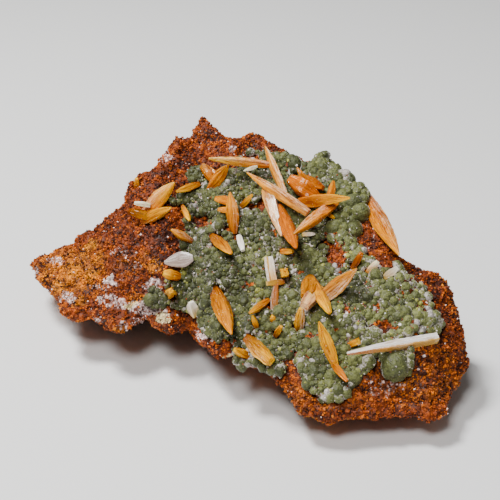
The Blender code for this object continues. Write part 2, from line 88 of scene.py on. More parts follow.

# The wulfenite: the node without its first word, root and tip (sheet x, sheet y, height), width on the
# sheet, flat, belly, root and tip share and roll as in the part's source, then the colours at root and
# tip, and how much of its left (-) or right (+) side is whitened, which is a painted glare.
Crystal = namedtuple("Crystal", "root tip width flat belly root_share tip_share roll low high frost")
CRYSTAL_ROWS = (
    ("west_group", (143, 215, 23.6), (174.5, 182.5, 28.8), 17, 0.65, 0.5, 0.5, 0.12, 30, ORANGE, GOLD, -0.25),
    ("west_group", (141, 222, 22.6), (171.5, 207.5, 25.8), 12, 0.75, 0.45, 0.5, 0.12, 50, AMBER, GOLD, 0),
    ("west_group", (147, 216, 23.8), (128, 211, 24.8), 10, 0.7, 0.3, 0.9, 0.5, 45, TAN, BROWN, 0),
    ("west_group", (150, 205.5, 25.6), (134.5, 203, 26.4), 5, 0.8, 0.5, 0.9, 0.7, 45, WHITE, WHITE, 0),
    ("north_west", (199, 184, 27.3), (176.5, 191.5, 27.8), 8, 0.8, 0.5, 0.6, 0.25, 40, AMBER, GOLD, 0),
    ("north_pair", (208.5, 190, 27.0), (228.5, 165, 31.2), 13, 0.7, 0.5, 0.4, 0.15, 30, AMBER, YELLOW, 0),
    ("north_pair", (221, 184, 28.0), (202, 166, 29.8), 12, 0.7, 0.4, 0.7, 0.5, 45, AMBER, TAN, 0.1),
    ("central_spray", (271, 165, 31.5), (208.5, 158.5, 32.8),
     10, 0.8, 0.45, 0.6, 0.2, 55, ORANGE, STRAW, 0.35),
    ("central_spray", (287, 201, 28.85), (265, 146, 33.2), 9.5, 0.8, 0.55, 0.7, 0.15, 30, PINK, YELLOW, 0.45),
    ("central_spray", (308, 213, 28.0), (247, 172.5, 31.6),
     12, 0.75, 0.4, 0.75, 0.12, 60, PINK, YELLOW, 0.35),
    ("central_spray", (266, 187, 29.7), (281.5, 236, 25.4), 14, 0.7, 0.3, 0.6, 0.15, 35, PINK, ROSE, -0.7),
    ("central_spray", (279, 206, 27.7), (296, 248, 26.2), 15, 0.7, 0.6, 0.5, 0.2, 25, AMBER, ORANGE, 0),
    ("central_spray", (336, 203, 28.2), (293, 234.5, 27.2),
     13, 0.7, 0.45, 0.6, 0.12, 30, ORANGE, YELLOW, 0.35),
    ("central_spray", (300, 202, 27.8), (350, 198, 31.0), 13, 0.75, 0.35, 0.8, 0.15, 35, ORANGE, GOLD, 0),
    ("central_spray", (317, 198, 28.6), (289, 178.5, 31.0), 18, 0.75, 0.5, 0.6, 0.5, 40, AMBER, ORANGE, 0),
    ("central_spray", (303, 179, 29.2), (323, 188, 30.2), 11, 0.7, 0.4, 0.8, 0.4, 45, TAN, AMBER, 0),
    ("central_spray", (307, 184, 29.2), (297, 167.5, 31.8), 6, 0.8, 0.4, 0.8, 0.2, 45, AMBER, YELLOW, 0),
    ("central_spray", (329, 203, 28.5), (333.5, 181, 31.4), 8, 0.8, 0.5, 0.7, 0.3, 45, ORANGE, YELLOW, 0),
    ("central_spray", (257, 166.5, 31.6), (243.5, 171, 31.5), 4, 0.9, 0.4, 0.6, 0.2, 45, WHITE, WHITE, 0),
    ("spray_bit", (326, 213, 26.0), (334, 218, 26.6), 4.5, 0.9, 0.5, 0.7, 0.5, 45, ORANGE, GOLD, 0),
    ("spray_foot", (303, 234.5, 23.6), (315, 234, 25.0), 4.5, 0.9, 0.5, 0.7, 0.3, 45, STRAW, WHITE, 0),
    ("middle_north", (240, 208, 25.2), (252.5, 194.5, 28.2), 6, 0.9, 0.5, 0.5, 0.25, 45, AMBER, GOLD, 0),
    ("middle_group", (234.5, 234, 22.8), (230, 192, 29.2), 13, 0.75, 0.5, 0.4, 0.12, 30, AMBER, YELLOW, 0.1),
    ("middle_group", (233, 202, 27.2), (215, 198.5, 27.4), 8, 0.8, 0.5, 0.9, 0.5, 45, ORANGE, YELLOW, 0),
    ("middle_group", (234, 211, 26.2), (218, 209.5, 26.2), 6, 0.8, 0.5, 0.9, 0.5, 45, ORANGE, YELLOW, 0),
    ("west_small", (182, 204.5, 24.8), (189.5, 220.5, 24.4), 7, 0.8, 0.6, 0.4, 0.3, 35, AMBER, GOLD, 0),
    ("west_spindle", (194, 243, 20.6), (171, 229.5, 23.4), 9, 0.8, 0.55, 0.5, 0.25, 30, BROWN, YELLOW, 0.2),
    ("centre_west", (211, 235, 22.4), (231.5, 253.5, 22.8), 12, 0.7, 0.4, 0.6, 0.25, 30, BROWN, YELLOW, 0),
    ("pale_middle", (239, 236, 22.6), (243, 250.5, 21.9), 6, 0.8, 0.5, 0.8, 0.6, 45, WHITE, WHITE, 0),
    ("rim_spear", (366, 195.5, 27.2), (399, 255, 24.2), 18, 0.6, 0.45, 0.6, 0.1, 25, AMBER, YELLOW, -0.2),
    ("centre_bit", (281.5, 251.5, 22.0), (293, 251.5, 23.0), 6.5, 0.9, 0.5, 0.7, 0.5, 45, ORANGE, GOLD, 0),
    ("blade", (164.5, 262.5, 19.0), (193, 258, 20.4), 15, 0.3, 0.6, 0.2, 0.4, 45, LILAC, LILAC, -0.6),
    ("west_block", (180, 277, 17.4), (163.5, 273, 18.6), 12, 0.8, 0.6, 0.6, 0.5, 25, AMBER, GOLD, 0),
    ("west_end_on", (171, 294, 14.0), (170.5, 291, 17.6), 13, 0.9, 0.4, 0.9, 0.5, 20, ORANGE, GOLD, 0),
    ("glassy", (195.5, 316, 11.8), (191, 302, 14.8), 12, 0.7, 0.5, 0.7, 0.5, 30, STRAW, WHITE, 0),
    ("south_large", (214, 286, 17.0), (231.5, 334, 15.2), 19, 0.7, 0.45, 0.45, 0.12, 25, BROWN, YELLOW, 0),
    ("pale_bars", (269.5, 281, 18.8), (266, 257, 22.4), 5, 0.9, 0.5, 0.9, 0.7, 45, TAN, STRAW, -1.3),
    ("pale_bars", (274.5, 284, 18.7), (270.5, 256.5, 22.5), 6.5, 0.9, 0.5, 0.9, 0.7, 40, STRAW, WHITE, 0.9),
    ("pale_bars", (284, 282, 19.0), (267, 283.5, 19.6), 6, 0.9, 0.5, 0.7, 0.7, 45, ORANGE, STRAW, 0),
    ("pale_bars", (273.5, 313, 15.2), (276, 281, 19.6), 9, 0.8, 0.4, 0.5, 0.4, 30, TAN, ORANGE, -0.5),
    ("bars_foot", (273, 323, 14.2), (273, 315.5, 15.8), 6, 0.9, 0.5, 0.8, 0.6, 45, ORANGE, GOLD, 0),
    ("south_west", (269, 300, 16.2), (249.5, 313, 16.8), 9, 0.8, 0.5, 0.5, 0.3, 30, AMBER, GOLD, 0),
    ("south_small", (257.5, 329, 13.2), (252.5, 315.5, 16.2), 6, 0.9, 0.5, 0.6, 0.3, 45, ORANGE, GOLD, 0),
    ("cube_centre", (285, 275, 18.6), (284.5, 272.3, 21.8), 8, 1.0, 0.5, 1.0, 0.95, 45, ORANGE, GOLD, 0),
    ("banded", (298.5, 331, 13.8), (301.5, 308.5, 18.6), 11, 0.8, 0.4, 0.7, 0.5, 35, TAN, GOLD, 0.4),
    ("south_bit", (275.5, 336, 12.8), (281, 326.5, 15.6), 6, 0.9, 0.5, 0.7, 0.5, 45, ORANGE, GOLD, 0),
    ("rim_ribbed", (250, 357, 10.2), (234.5, 349.5, 12.2), 10, 0.8, 0.5, 0.7, 0.5, 35, AMBER, GOLD, 0),
    ("rim_chunk", (247, 337, 12.6), (270.5, 362, 12.4), 16, 0.7, 0.6, 0.6, 0.7, 25, BROWN, GOLD, 0.1),
    ("east_group", (320, 300, 18.4), (357, 268.5, 24.0), 16, 0.65, 0.4, 0.6, 0.1, 35, PINK, YELLOW, 0.4),
    ("east_group", (312, 278, 20.0), (329.5, 313, 20.2), 12, 0.75, 0.6, 0.6, 0.35, 25, AMBER, GOLD, 0),
    ("east_group", (319, 288, 19.2), (304.5, 306, 19.8), 15, 0.75, 0.5, 0.8, 0.7, 35, PINK, ROSE, 0),
    ("east_group", (311, 275.5, 20.6), (307, 297, 19.8), 17, 0.6, 0.6, 0.3, 0.7, 40, TAN, TAN, 0),
    ("south_east_pair", (337, 371, 11.4), (319, 321.5, 18.8),
     13, 0.75, 0.55, 0.35, 0.12, 30, YELLOW, GOLD, 0),
    ("south_east_pair", (334, 365, 12.4), (347, 381, 12.0), 7, 0.8, 0.4, 0.8, 0.4, 45, TAN, ORANGE, 0),
    ("cube_east", (349.5, 345, 14.0), (358.5, 341, 15.4), 7, 0.9, 0.5, 1.0, 0.95, 40, ORANGE, GOLD, 0),
    ("pale_prism", (437, 338, 14.0), (347.5, 353.5, 15.6),
     12, 0.9, 0.3, 0.95, 0.3, 15, STRAW, ORANGE, PRISM_GLARE),
    ("east_brown", (352.5, 269, 21.4), (362, 252.5, 24.2), 7, 0.9, 0.5, 0.7, 0.5, 45, BROWN, AMBER, 0),
    ("east_pale", (367.5, 273, 21.0), (378, 262, 23.4), 8, 0.8, 0.5, 0.7, 0.6, 30, YELLOW, WHITE, 0),
    ("east_white", (383.5, 278, 20.8), (397.5, 267.5, 22.6), 8, 0.8, 0.5, 0.7, 0.5, 30, STRAW, WHITE, 0),
    ("rim_grain", (137, 187.5, 26.2), (136.5, 178.5, 28.2), 5.5, 0.9, 0.5, 0.8, 0.6, 45, ORANGE, GOLD, 0),
)
CRYSTALS = {}
for node, *values in CRYSTAL_ROWS:
    CRYSTALS.setdefault("wulfenite_" + node, []).append(Crystal(*values))
PALE_NODES = (
    "wulfenite_pale_middle", "wulfenite_blade", "wulfenite_glassy", "wulfenite_pale_prism",
    "wulfenite_spray_foot", "wulfenite_pale_bars", "wulfenite_east_white",
)

# The make of a crystal: the width from which it has more faces, how its ends narrow, how sharp its edges
# are, the grain's share along its length, how fast its grooves and steps change, and how the painted glare
# fades
LARGE_WIDTH = 9
TAPER = 1.7
CORNER_POWER = 9
LENGTHWISE = 0.13
GROOVE_ACROSS, GROOVE_ALONG = 2.6, 1.1
STEP_ACROSS, STEP_ALONG = 0.8, 1.3
GLARE_SLOPE, GLARE_START, MOST_GLARE = 1.7, 0.35, 0.85
SHARP_EDGE = math.radians(32)

# The large balls of mimetite: sheet x, sheet y, radius in millimetres
BIG_BALLS = (
    (195, 175, 1.4), (321, 163, 1.5), (332, 159, 1.3), (284, 164, 1.8), (344, 188, 1.4), (357, 193, 1.4),
    (347, 213, 1.6), (343, 237, 1.7), (352, 290, 1.8), (366, 297, 1.7), (395, 366, 2.5), (176, 287, 1.5),
    (194, 286, 1.4), (201, 272, 1.5), (245, 323, 1.5), (265, 321, 1.4), (317, 319, 1.4), (334, 322, 1.5),
    (295, 340, 1.3), (314, 371, 1.4), (344, 375, 1.4), (425, 322, 1.7), (240, 272, 1.3), (285, 253, 1.5),
)

# The balls: how far the large and the others sink in, as a share of the radius, how near two middles may be,
# as a share of both radii, the radii from which a ball has more faces, and the largest by chance
BIG_SINK, SINK = 0.75, 0.35
LEAST_GAP = 0.54
FINE_RADIUS, FINEST_RADIUS = 1.15 * MM, 1.6 * MM
LARGEST_RADIUS = 1.3 * MM

# The skins: how high above the floor the knobs fade out, how much the crust's ground is raised and sunk
FOOT_FADE = 1.5 * MM
GROUND_ROUGHNESS = 0.16 * MM
GROUND_SINK = 0.15 * MM

# How far past its edge a surface still counts as seen, and how far a patch's edge wanders on the sheet
PAST_EDGE = -0.01
PATCH_WANDER = 5
WANDER_SCALE, LUCK_SCALE, BROAD_SCALE = 700, 5200, 95
TONE_STEPS = (0, 0.45, 1)
PALE_GRAINS, PALE_SPECKS = 0.008, 0.03

# The lamps and the camera
KEY_PLACE, KEY_SIZE = (-0.16, 0.04, 0.4), 0.1
FILL_PLACE, FILL_SIZE = (-0.1, -0.27, 0.44), 0.13
SENSOR_WIDTH = 36

# Patches of another colour on the rock: middle and half sizes on the sheet, and how strong
OCHRE_PATCHES = (
    (72, 272, 34, 24, 0.9), (92, 256, 16, 12, 1.1), (62, 285, 14, 14, 1.2), (128, 265, 12, 12, 0.35),
    (150, 262, 10, 10, 0.5), (137, 300, 12, 5, 0.5), (420, 372, 45, 34, 0.3), (320, 395, 50, 16, 0.25),
)
YELLOW_PATCHES = (
    (91, 244, 6, 5, 0.8), (93, 275, 9, 6, 0.7), (72, 270, 9, 9, 0.6), (60, 286, 6, 7, 0.6),
    (155, 267, 8, 6, 0.4), (80, 302, 8, 5, 0.4), (120, 330, 8, 5, 0.3),
)
PALE_PATCHES = (
    (110.5, 282, 5.5, 5.5, 1.3), (110, 300, 16, 5, 0.6), (128, 306, 10, 6, 0.65), (148, 306, 13, 8, 0.6),
    (101, 288, 8, 5, 0.3), (160, 311, 9, 6, 0.6), (166, 155, 6, 8, 0.45), (152, 286, 9, 8, 0.55),
    (57, 260, 7, 5, 0.55), (68, 297, 8, 5, 0.6), (37, 271, 4, 6, 0.5), (118, 252, 7, 5, 0.3),
    (138, 266, 6, 4, 0.35), (207, 335, 12, 5, 0.85), (255, 364, 14, 4, 0.85), (385, 385, 20, 10, 0.25),
    (140, 322, 10, 5, 0.4), (120, 325, 8, 4, 0.35), (279, 140, 4, 3, 0.5), (232, 146, 5, 2.5, 0.5),
    (268, 142, 3, 3.5, 0.7), (97, 322, 5, 4, 0.45),
)
CREAM_PATCHES = ((129, 305, 7, 4, 0.85), (163, 318, 9, 6, 0.8), (186, 303, 6, 5, 0.5), (226, 356, 4, 3, 0.6))
# Darker patches: the first, at (164, 246), is a painted shadow in a hollow; the others are darker rock
DARK_AND_SHADOW_PATCHES = (
    (164, 246, 14, 17, 0.8), (148, 236, 12, 9, 0.4), (440, 320, 28, 60, 0.25), (405, 275, 16, 12, 0.4),
    (290, 150, 30, 8, 0.3),
)

# Patches on the crust: dark green, lime, large smooth balls, and bare where the rock shows
DARK_GREEN_PATCHES = ((356, 293, 16, 15, 0.9), (232, 185, 10, 6, 0.6), (300, 245, 14, 6, 0.4))
LIME_PATCHES = (
    (249, 297, 10, 14, 0.7), (363, 256, 8, 8, 0.8), (416, 296, 7, 14, 0.9), (200, 225, 10, 6, 0.5),
    (262, 260, 12, 12, 0.25), (183, 270, 5, 4, 1.0), (352, 262, 7, 10, 0.4),
)
SMOOTH_PATCHES = (
    (352, 205, 24, 36, 1.0), (284, 164, 11, 9, 1.0), (195, 175, 8, 6, 1.0), (320, 165, 18, 10, 0.7),
    (394, 366, 14, 12, 0.8),
)
BARE_PATCHES = (
    (384, 326, 13, 6, 1.0), (377, 309, 6, 5, 0.9), (409, 289, 7, 10, 0.75), (337, 254, 10, 13, 1.0),
    (331, 240, 8, 10, 0.9), (251, 285, 9, 3.5, 0.9), (311, 336, 8, 3, 0.8), (345, 310, 5, 5, 0.7),
    (336, 329, 4, 3, 0.8), (413, 331, 4, 3, 0.6), (408, 281, 9, 9, 0.75), (370, 283, 4, 4, 0.6),
    (424, 306, 4, 8, 0.5), (202, 222, 11, 5, 0.8), (256, 207, 7, 4, 0.7), (274, 234, 5, 4, 0.7),
    (301, 356, 8, 5, 0.7), (352, 308, 4, 5, 0.6), (300, 272, 3, 2.5, 0.8), (230, 344, 8, 4, 0.6),
)


class RockLook(bpy.types.PropertyGroup):
    """Sizes and colours of the limonite rock."""

    skin_detail: FloatProperty(
        name="Skin detail", description="Size of the faces of the skin", default=0.36 * MM, unit="LENGTH"
    )
    knob_height: FloatProperty(
        name="Knob height", description="How far the knobs stand out", default=0.75 * MM, unit="LENGTH"
    )
    grain_count: IntProperty(name="Grains", description="How many grains are tried", default=110000)
    grain_size: FloatProperty(
        name="Grain size", description="Typical half width of a grain", default=0.132 * MM, unit="LENGTH"
    )
    speck_tries: IntProperty(
        name="Specks", description="How many grains are tried on the crust", default=120000
    )
    # The dark end of the tone: the darkest grains, and the painted shade in the pits between the knobs
    dark: FloatVectorProperty(
        name="Dark brown", description="Colour of the pits", default=(0.035, 0.006, 0.002), subtype="COLOR"
    )
    rust: FloatVectorProperty(
        name="Rust", description="Colour of most grains", default=(0.26, 0.044, 0.002), subtype="COLOR"
    )
    orange: FloatVectorProperty(
        name="Orange", description="Colour of the bright grains", default=(0.76, 0.175, 0.001),
        subtype="COLOR",
    )
    ochre: FloatVectorProperty(
        name="Ochre", description="Colour of the left wing", default=(0.84, 0.26, 0.0), subtype="COLOR"
    )
    pale: FloatVectorProperty(
        name="Pale", description="Colour of the grey-white patches", default=(0.9, 0.69, 0.64),
        subtype="COLOR",
    )
    yellow: FloatVectorProperty(
        name="Yellow", description="Colour of the brightest spots of the left wing",
        default=(0.88, 0.33, 0.0), subtype="COLOR",
    )
    cream: FloatVectorProperty(
        name="Cream", description="Colour of the cream patches", default=(0.98, 0.8, 0.42), subtype="COLOR"
    )


class CrustLook(bpy.types.PropertyGroup):
    """Sizes and colours of the mimetite crust and its balls."""

    skin_detail: FloatProperty(
        name="Skin detail", description="Size of the faces of the crust", default=0.32 * MM, unit="LENGTH"
    )
    small_ball: FloatProperty(
        name="Small ball", description="Radius of the smallest balls", default=0.26 * MM, unit="LENGTH"
    )
    usual_ball: FloatProperty(
        name="Usual ball", description="Radius of most balls", default=0.55 * MM, unit="LENGTH"
    )
    ball_tries: IntProperty(name="Tries", description="How many places for a ball are tried", default=20000)
    crumb_count: IntProperty(name="Crumbs", description="How many crumbs dust the crust", default=20000)
    crumb_size: FloatProperty(
        name="Crumb size", description="Typical radius of a crumb", default=0.1 * MM, unit="LENGTH"
    )
    lump: FloatProperty(
        name="Lumpiness", description="Unevenness of a ball, as a share of its radius", default=0.21
    )
    green: FloatVectorProperty(
        name="Grey green", description="Colour of most balls", default=(0.05, 0.057, 0.016), subtype="COLOR"
    )
    light_green: FloatVectorProperty(
        name="Light green", description="Colour of the lighter balls", default=(0.15, 0.162, 0.045),
        subtype="COLOR",
    )
    lime: FloatVectorProperty(
        name="Lime", description="Colour of the few bright balls", default=(0.34, 0.34, 0.06), subtype="COLOR"
    )
    # Pale powder between and on the balls; on their flanks it is also a painted sheen
    frost: FloatVectorProperty(
        name="Frost", description="Colour of the powder between balls", default=(0.47, 0.42, 0.38),
        subtype="COLOR",
    )


class CrystalLook(bpy.types.PropertyGroup):
    """Sizes and colours of the wulfenite crystals."""

    rings: IntProperty(name="Rings", description="Rings of faces along a large crystal", default=26)
    columns: IntProperty(name="Columns", description="Cuts across each side of a large crystal", default=5)
    groove: FloatProperty(
        name="Grooves", description="Depth of the long grooves, as a share of the half width", default=0.2
    )
    step: FloatProperty(
        name="Steps", description="Height of the steps along the length, as a share of the half width",
        default=0.1,
    )
    # The colour of the crystals' whitened sides and flecks: painted glare and painted glints
    frost: FloatVectorProperty(
        name="Frost", description="Colour of the frosted sides", default=(0.93, 0.78, 0.68), subtype="COLOR"
    )


class StageLook(bpy.types.PropertyGroup):
    """The floor and the studio lights."""

    floor_size: FloatProperty(name="Floor size", description="Side of the floor", default=3.0, unit="LENGTH")
    floor_colour: FloatVectorProperty(
        name="Floor colour", description="Colour of the floor", default=(0.78, 0.78, 0.77), subtype="COLOR"
    )
    key_power: FloatProperty(name="Key light", description="Power in watts of the main light", default=3.0)
    fill_power: FloatProperty(name="Fill light", description="Power in watts of the fill light", default=2.0)
    room_light: FloatProperty(name="Room light", description="Strength of the light all round", default=0.13)


def spot(x, y, height):
    """The point at this height, in millimetres, on the line of sight through a sheet position."""
    ray = sheet_ray(x, y)
    return EYE + ray * ((height * MM - EYE.z) / ray.z)


def sheet_ray(x, y):
    """The direction of the line of sight through a sheet position."""
    across = (x - SHEET_MIDDLE) * SHEET_UNIT / EYE_DISTANCE
    up = (SHEET_MIDDLE - y) * SHEET_UNIT / EYE_DISTANCE
    return AHEAD + up * OVER + Vector((across, 0, 0))


def sheet_places(points):
    """The sheet positions of an array of points."""
    away = points - np.array(EYE)
    depth = away @ np.array(AHEAD)
    x = SHEET_MIDDLE + away[:, 0] / depth * EYE_DISTANCE / SHEET_UNIT
    y = SHEET_MIDDLE - away @ np.array(OVER) / depth * EYE_DISTANCE / SHEET_UNIT
    return x, y


def add_piece(name, mesh, replaced=()):
    """Puts a mesh in the scene as a piece that rides with the rock."""
    piece = bpy.data.objects.new(name, mesh)
    bpy.context.scene.collection.objects.link(piece)
    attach(piece, "root")
    if replaced:
        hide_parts(*replaced)
    return piece


def merged_solid(node):
    """A copy of a solid's mesh with its loose triangles merged."""
    bm = bmesh.new()
    bm.from_mesh(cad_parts[node].data)
    bmesh.ops.remove_doubles(bm, verts=bm.verts, dist=0.001 * MM)
    return bm


def even_skin(bm, name, voxel):
    """The shape of a closed mesh remade in even faces."""
    mesh = bpy.data.meshes.new(name)
    bm.to_mesh(mesh)
    bm.free()
    holder = bpy.data.objects.new(name + "_holder", mesh)
    bpy.context.scene.collection.objects.link(holder)
    remesh = holder.modifiers.new("even skin", "REMESH")
    remesh.mode = "VOXEL"
    remesh.voxel_size = voxel
    graph = bpy.context.evaluated_depsgraph_get()
    made = bpy.data.meshes.new_from_object(holder.evaluated_get(graph))
    bpy.data.objects.remove(holder)
    bpy.data.meshes.remove(mesh)
    made.name = name
    return made


def smoothed_skin(node, name, detail, rounds):
    """A solid's shape remade in even faces and smoothed: its mesh, and the bmesh to shape it further."""
    mesh = even_skin(merged_solid(node), name, detail)
    bm = bmesh.new()
    bm.from_mesh(mesh)
    axes = {"use_axis_x": True, "use_axis_y": True, "use_axis_z": True}
    for _ in range(rounds):
        bmesh.ops.smooth_vert(bm, verts=bm.verts, factor=0.5, **axes)
    bm.normal_update()
    return mesh, bm


def finished_places(bm, mesh):
    """Puts a shaped bmesh back in its mesh as triangles, and gives the places of its vertices."""
    bmesh.ops.triangulate(bm, faces=bm.faces)
    bm.to_mesh(mesh)
    bm.free()
    return place_array(mesh)


def noise_at(points, scale, shift=(0, 0, 0)):
    """Noise at an array of points."""
    return np.array([noise.noise(Vector(point) * scale + Vector(shift)) for point in points])


def noise_vectors_at(points, scale):
    """Three noises at an array of points, the same in each run."""
    noise.seed_set(SEED)
    return np.array([noise.noise_vector(Vector(point) * scale) for point in points])


def skin_tree(mesh):
    """The tree that finds places on a mesh."""
    bm = bmesh.new()
    bm.from_mesh(mesh)
    tree = BVHTree.FromBMesh(bm)
    bm.free()
    return tree


def place_array(mesh):
    """The places of a mesh's vertices."""
    points = np.empty(len(mesh.vertices) * 3, np.float32)
    mesh.vertices.foreach_get("co", points)
    return points.reshape(-1, 3).astype(float)


def set_tint(mesh, tints):
    """Gives every vertex its own colour."""
    layer = mesh.attributes.new("tint", "FLOAT_COLOR", "POINT")
    whole = np.ones((len(tints), 4), np.float32)
    whole[:, :3] = tints
    layer.data.foreach_set("color", whole.ravel())


def set_value(mesh, name, values):
    """Gives every vertex its own number."""
    layer = mesh.attributes.new(name, "FLOAT", "POINT")
    layer.data.foreach_set("value", np.asarray(values, np.float32))


def mesh_of(name, points, faces, smooth):
    """A mesh of many small shapes from its points and triangles."""
    mesh = bpy.data.meshes.new(name)
    mesh.vertices.add(len(points))
    mesh.vertices.foreach_set("co", points.astype(np.float32).ravel())
    mesh.loops.add(faces.size)
    mesh.loops.foreach_set("vertex_index", faces.astype(np.int32).ravel())
    mesh.polygons.add(len(faces))
    mesh.polygons.foreach_set("loop_start", np.arange(0, faces.size, 3, dtype=np.int32))
    mesh.polygons.foreach_set("use_smooth", np.full(len(faces), smooth))
    mesh.update(calc_edges=True)
    return mesh


def shape_of(bm):
    """The points and triangles of a small shape that is repeated."""
    bmesh.ops.triangulate(bm, faces=bm.faces)
    points = np.array([v.co for v in bm.verts])
    faces = np.array([[v.index for v in face.verts] for face in bm.faces])
    bm.free()
    return points, faces


def grain_shape():
    """An angular grain."""
    bm = bmesh.new()
    bmesh.ops.create_uvsphere(bm, u_segments=4, v_segments=2, radius=1.2)
    return shape_of(bm)


def repeated(shape, turns, places):
    """Many copies of a shape, each under its own 3 by 3 matrix and moved to its own place."""
    points, faces = shape
    every = np.einsum("nij,pj->npi", turns, points) + places[:, None, :]
    starts = np.arange(len(places))[:, None, None] * len(points)
    return every.reshape(-1, 3), (faces[None] + starts).reshape(-1, 3)


def random_turns(count, rng):
    """Random rotations."""
    q = rng.normal(size=(count, 4))
    q /= np.linalg.norm(q, axis=1)[:, None]
    w, x, y, z = q.T
    rows = [
        [1 - 2 * (y * y + z * z), 2 * (x * y - w * z), 2 * (x * z + w * y)],
        [2 * (x * y + w * z), 1 - 2 * (x * x + z * z), 2 * (y * z - w * x)],
        [2 * (x * z - w * y), 2 * (y * z + w * x), 1 - 2 * (x * x + y * y)],
    ]
    return np.moveaxis(np.array(rows), 2, 0)


def patch_mask(x, y, patches):
    """How strongly a set of soft-edged patches covers sheet positions."""
    mask = np.zeros(len(x))
    for middle_x, middle_y, half_x, half_y, amount in patches:
        away = ((x - middle_x) / half_x) ** 2 + ((y - middle_y) / half_y) ** 2
        mask = np.maximum(mask, amount * np.clip(1.5 - away, 0, 1))
    return mask


def mixed(first, second, share):
    """Colours mixed by a share for each."""
    share = np.clip(share, 0, 1)[:, None]
    return np.asarray(first) * (1 - share) + np.asarray(second) * share


def rock_tints(points, seen, tone, look):
    """Colours of the rock at an array of points, from a tone (0 dark to 1 bright) and the colour patches."""
    jitter = noise_vectors_at(points, WANDER_SCALE)
    x, y = sheet_places(points)
    x = x + jitter[:, 0] * PATCH_WANDER
    y = y + jitter[:, 1] * PATCH_WANDER
    luck = 0.5 + 0.8 * noise_at(points, LUCK_SCALE)
    colours = np.array([look.dark, look.rust, look.orange])
    broad = noise_vectors_at(points, BROAD_SCALE) * (1 - seen)[:, None]
    # The dark patches lower the tone; the one at (164, 246) is a painted shadow in a hollow
    tone = np.clip(tone - 0.25 * patch_mask(x, y, DARK_AND_SHADOW_PATCHES) * seen + 0.35 * broad[:, 0], 0, 1)
    tints = np.stack([np.interp(tone, TONE_STEPS, colours[:, i]) for i in range(3)], axis=1)
    ochre = patch_mask(x, y, OCHRE_PATCHES) * seen * np.clip(tone * 1.4, 0, 1) * (0.8 + 1.1 * jitter[:, 2])
    ochre = ochre + np.clip(broad[:, 1] * 3 - 0.4, 0, 0.6) * (0.4 + tone)
    tints = mixed(tints, mixed(look.ochre, look.yellow, (luck - 0.55) * 3), ochre * 0.8)
    tints = mixed(tints, look.yellow, patch_mask(x, y, YELLOW_PATCHES) * seen * np.clip(tone * 1.6, 0, 1))
    hidden_patches = np.clip(broad[:, 2] * 4 - 1.5, 0, 0.35)
    for colour, patches in ((look.pale, PALE_PATCHES), (look.cream, CREAM_PATCHES)):
        strength = patch_mask(x, y, patches) * seen
        if patches is PALE_PATCHES:
            strength = strength + hidden_patches
        cover = np.clip((strength - luck) * 5 + 0.5, 0, 1) * np.clip(strength * 5, 0, 1)
        tints = mixed(tints, np.array(colour) * (0.5 + 0.8 * tone)[:, None], cover)
    return tints


def rock_rise(point):
    """How far the skin of the rock stands out at a point, as a share of the knob height."""
    q = point / MM
    knobs = 0.55 - noise.voronoi(q * 0.42)[0][0]
    lumps = noise.voronoi(q * 1.05)[0][0] - 0.5
    crumbs = noise.fractal(q * 1.3, 0.8, 2.0, 3)
    return 0.9 * knobs - 0.6 * lumps + 0.45 * crumbs


class SPECIMEN_OT_limonite_skin(bpy.types.Operator):
    """Makes the knobbly skin of the rock from its solid"""

    bl_idname = "specimen.limonite_skin"
    bl_label = "Limonite skin"

    def execute(self, context):
        look = context.scene.rock_look
        mesh, bm = smoothed_skin("limonite_matrix", "limonite_skin", look.skin_detail, 3)
        rises = [rock_rise(v.co) for v in bm.verts]
        for v, rise in zip(bm.verts, rises):
            fade = min(1.0, max(0.0, v.co.z / FOOT_FADE))
            v.co = v.co + v.normal * (rise * look.knob_height * fade)
            v.co.z = max(v.co.z, 0)
        bm.normal_update()
        seen = np.array([1.0 if v.normal.dot(EYE - v.co) > PAST_EDGE else 0.0 for v in bm.verts])
        points = finished_places(bm, mesh)
        # The tone falls where the knobs' rise is low: painted shade in the pits, with random tone on top
        tone = 0.14 + 0.4 * np.array(rises) + 0.25 * noise_at(points, 260)
        set_tint(mesh, rock_tints(points, seen, tone, look))
        mesh.materials.append(limonite_material())
        add_piece("limonite_skin", mesh, ["limonite_matrix"])
        mesh.shade_smooth()
        return {"FINISHED"}


def spread_over(mesh, count, rng):
    """Places and normals spread evenly over a mesh of triangles."""
    points = place_array(mesh)
    corners = np.empty(len(mesh.polygons) * 3, np.int32)
    mesh.polygons.foreach_get("vertices", corners)
    a, b, c = (points[corners.reshape(-1, 3)[:, i]] for i in range(3))
    normals = np.cross(b - a, c - a)
    areas = np.linalg.norm(normals, axis=1)
    picked = rng.choice(len(areas), count, p=areas / areas.sum())
    u, v = rng.random((2, count))
    over = u + v > 1
    u[over], v[over] = 1 - u[over], 1 - v[over]
    places = a[picked] + (b - a)[picked] * u[:, None] + (c - a)[picked] * v[:, None]
    return places, normals[picked] / areas[picked][:, None]


def add_grains(name, places, normals, tints, size, rng):
    """Puts small angular grains, each with its own colour and size, in the scene as one piece."""
    count = len(places)
    shape = grain_shape()
    stretch = size[:, None] * rng.uniform(0.65, 1.35, (count, 3))
    turns = random_turns(count, rng) * stretch[:, None, :]
    points, faces = repeated(shape, turns, places + normals * (size * 0.35)[:, None])
    points[:, 2] = np.maximum(points[:, 2], 0)
    mesh = mesh_of(name, points, faces, False)
    set_tint(mesh, np.repeat(tints, len(shape[0]), axis=0))
    mesh.materials.append(limonite_material())
    add_piece(name, mesh)


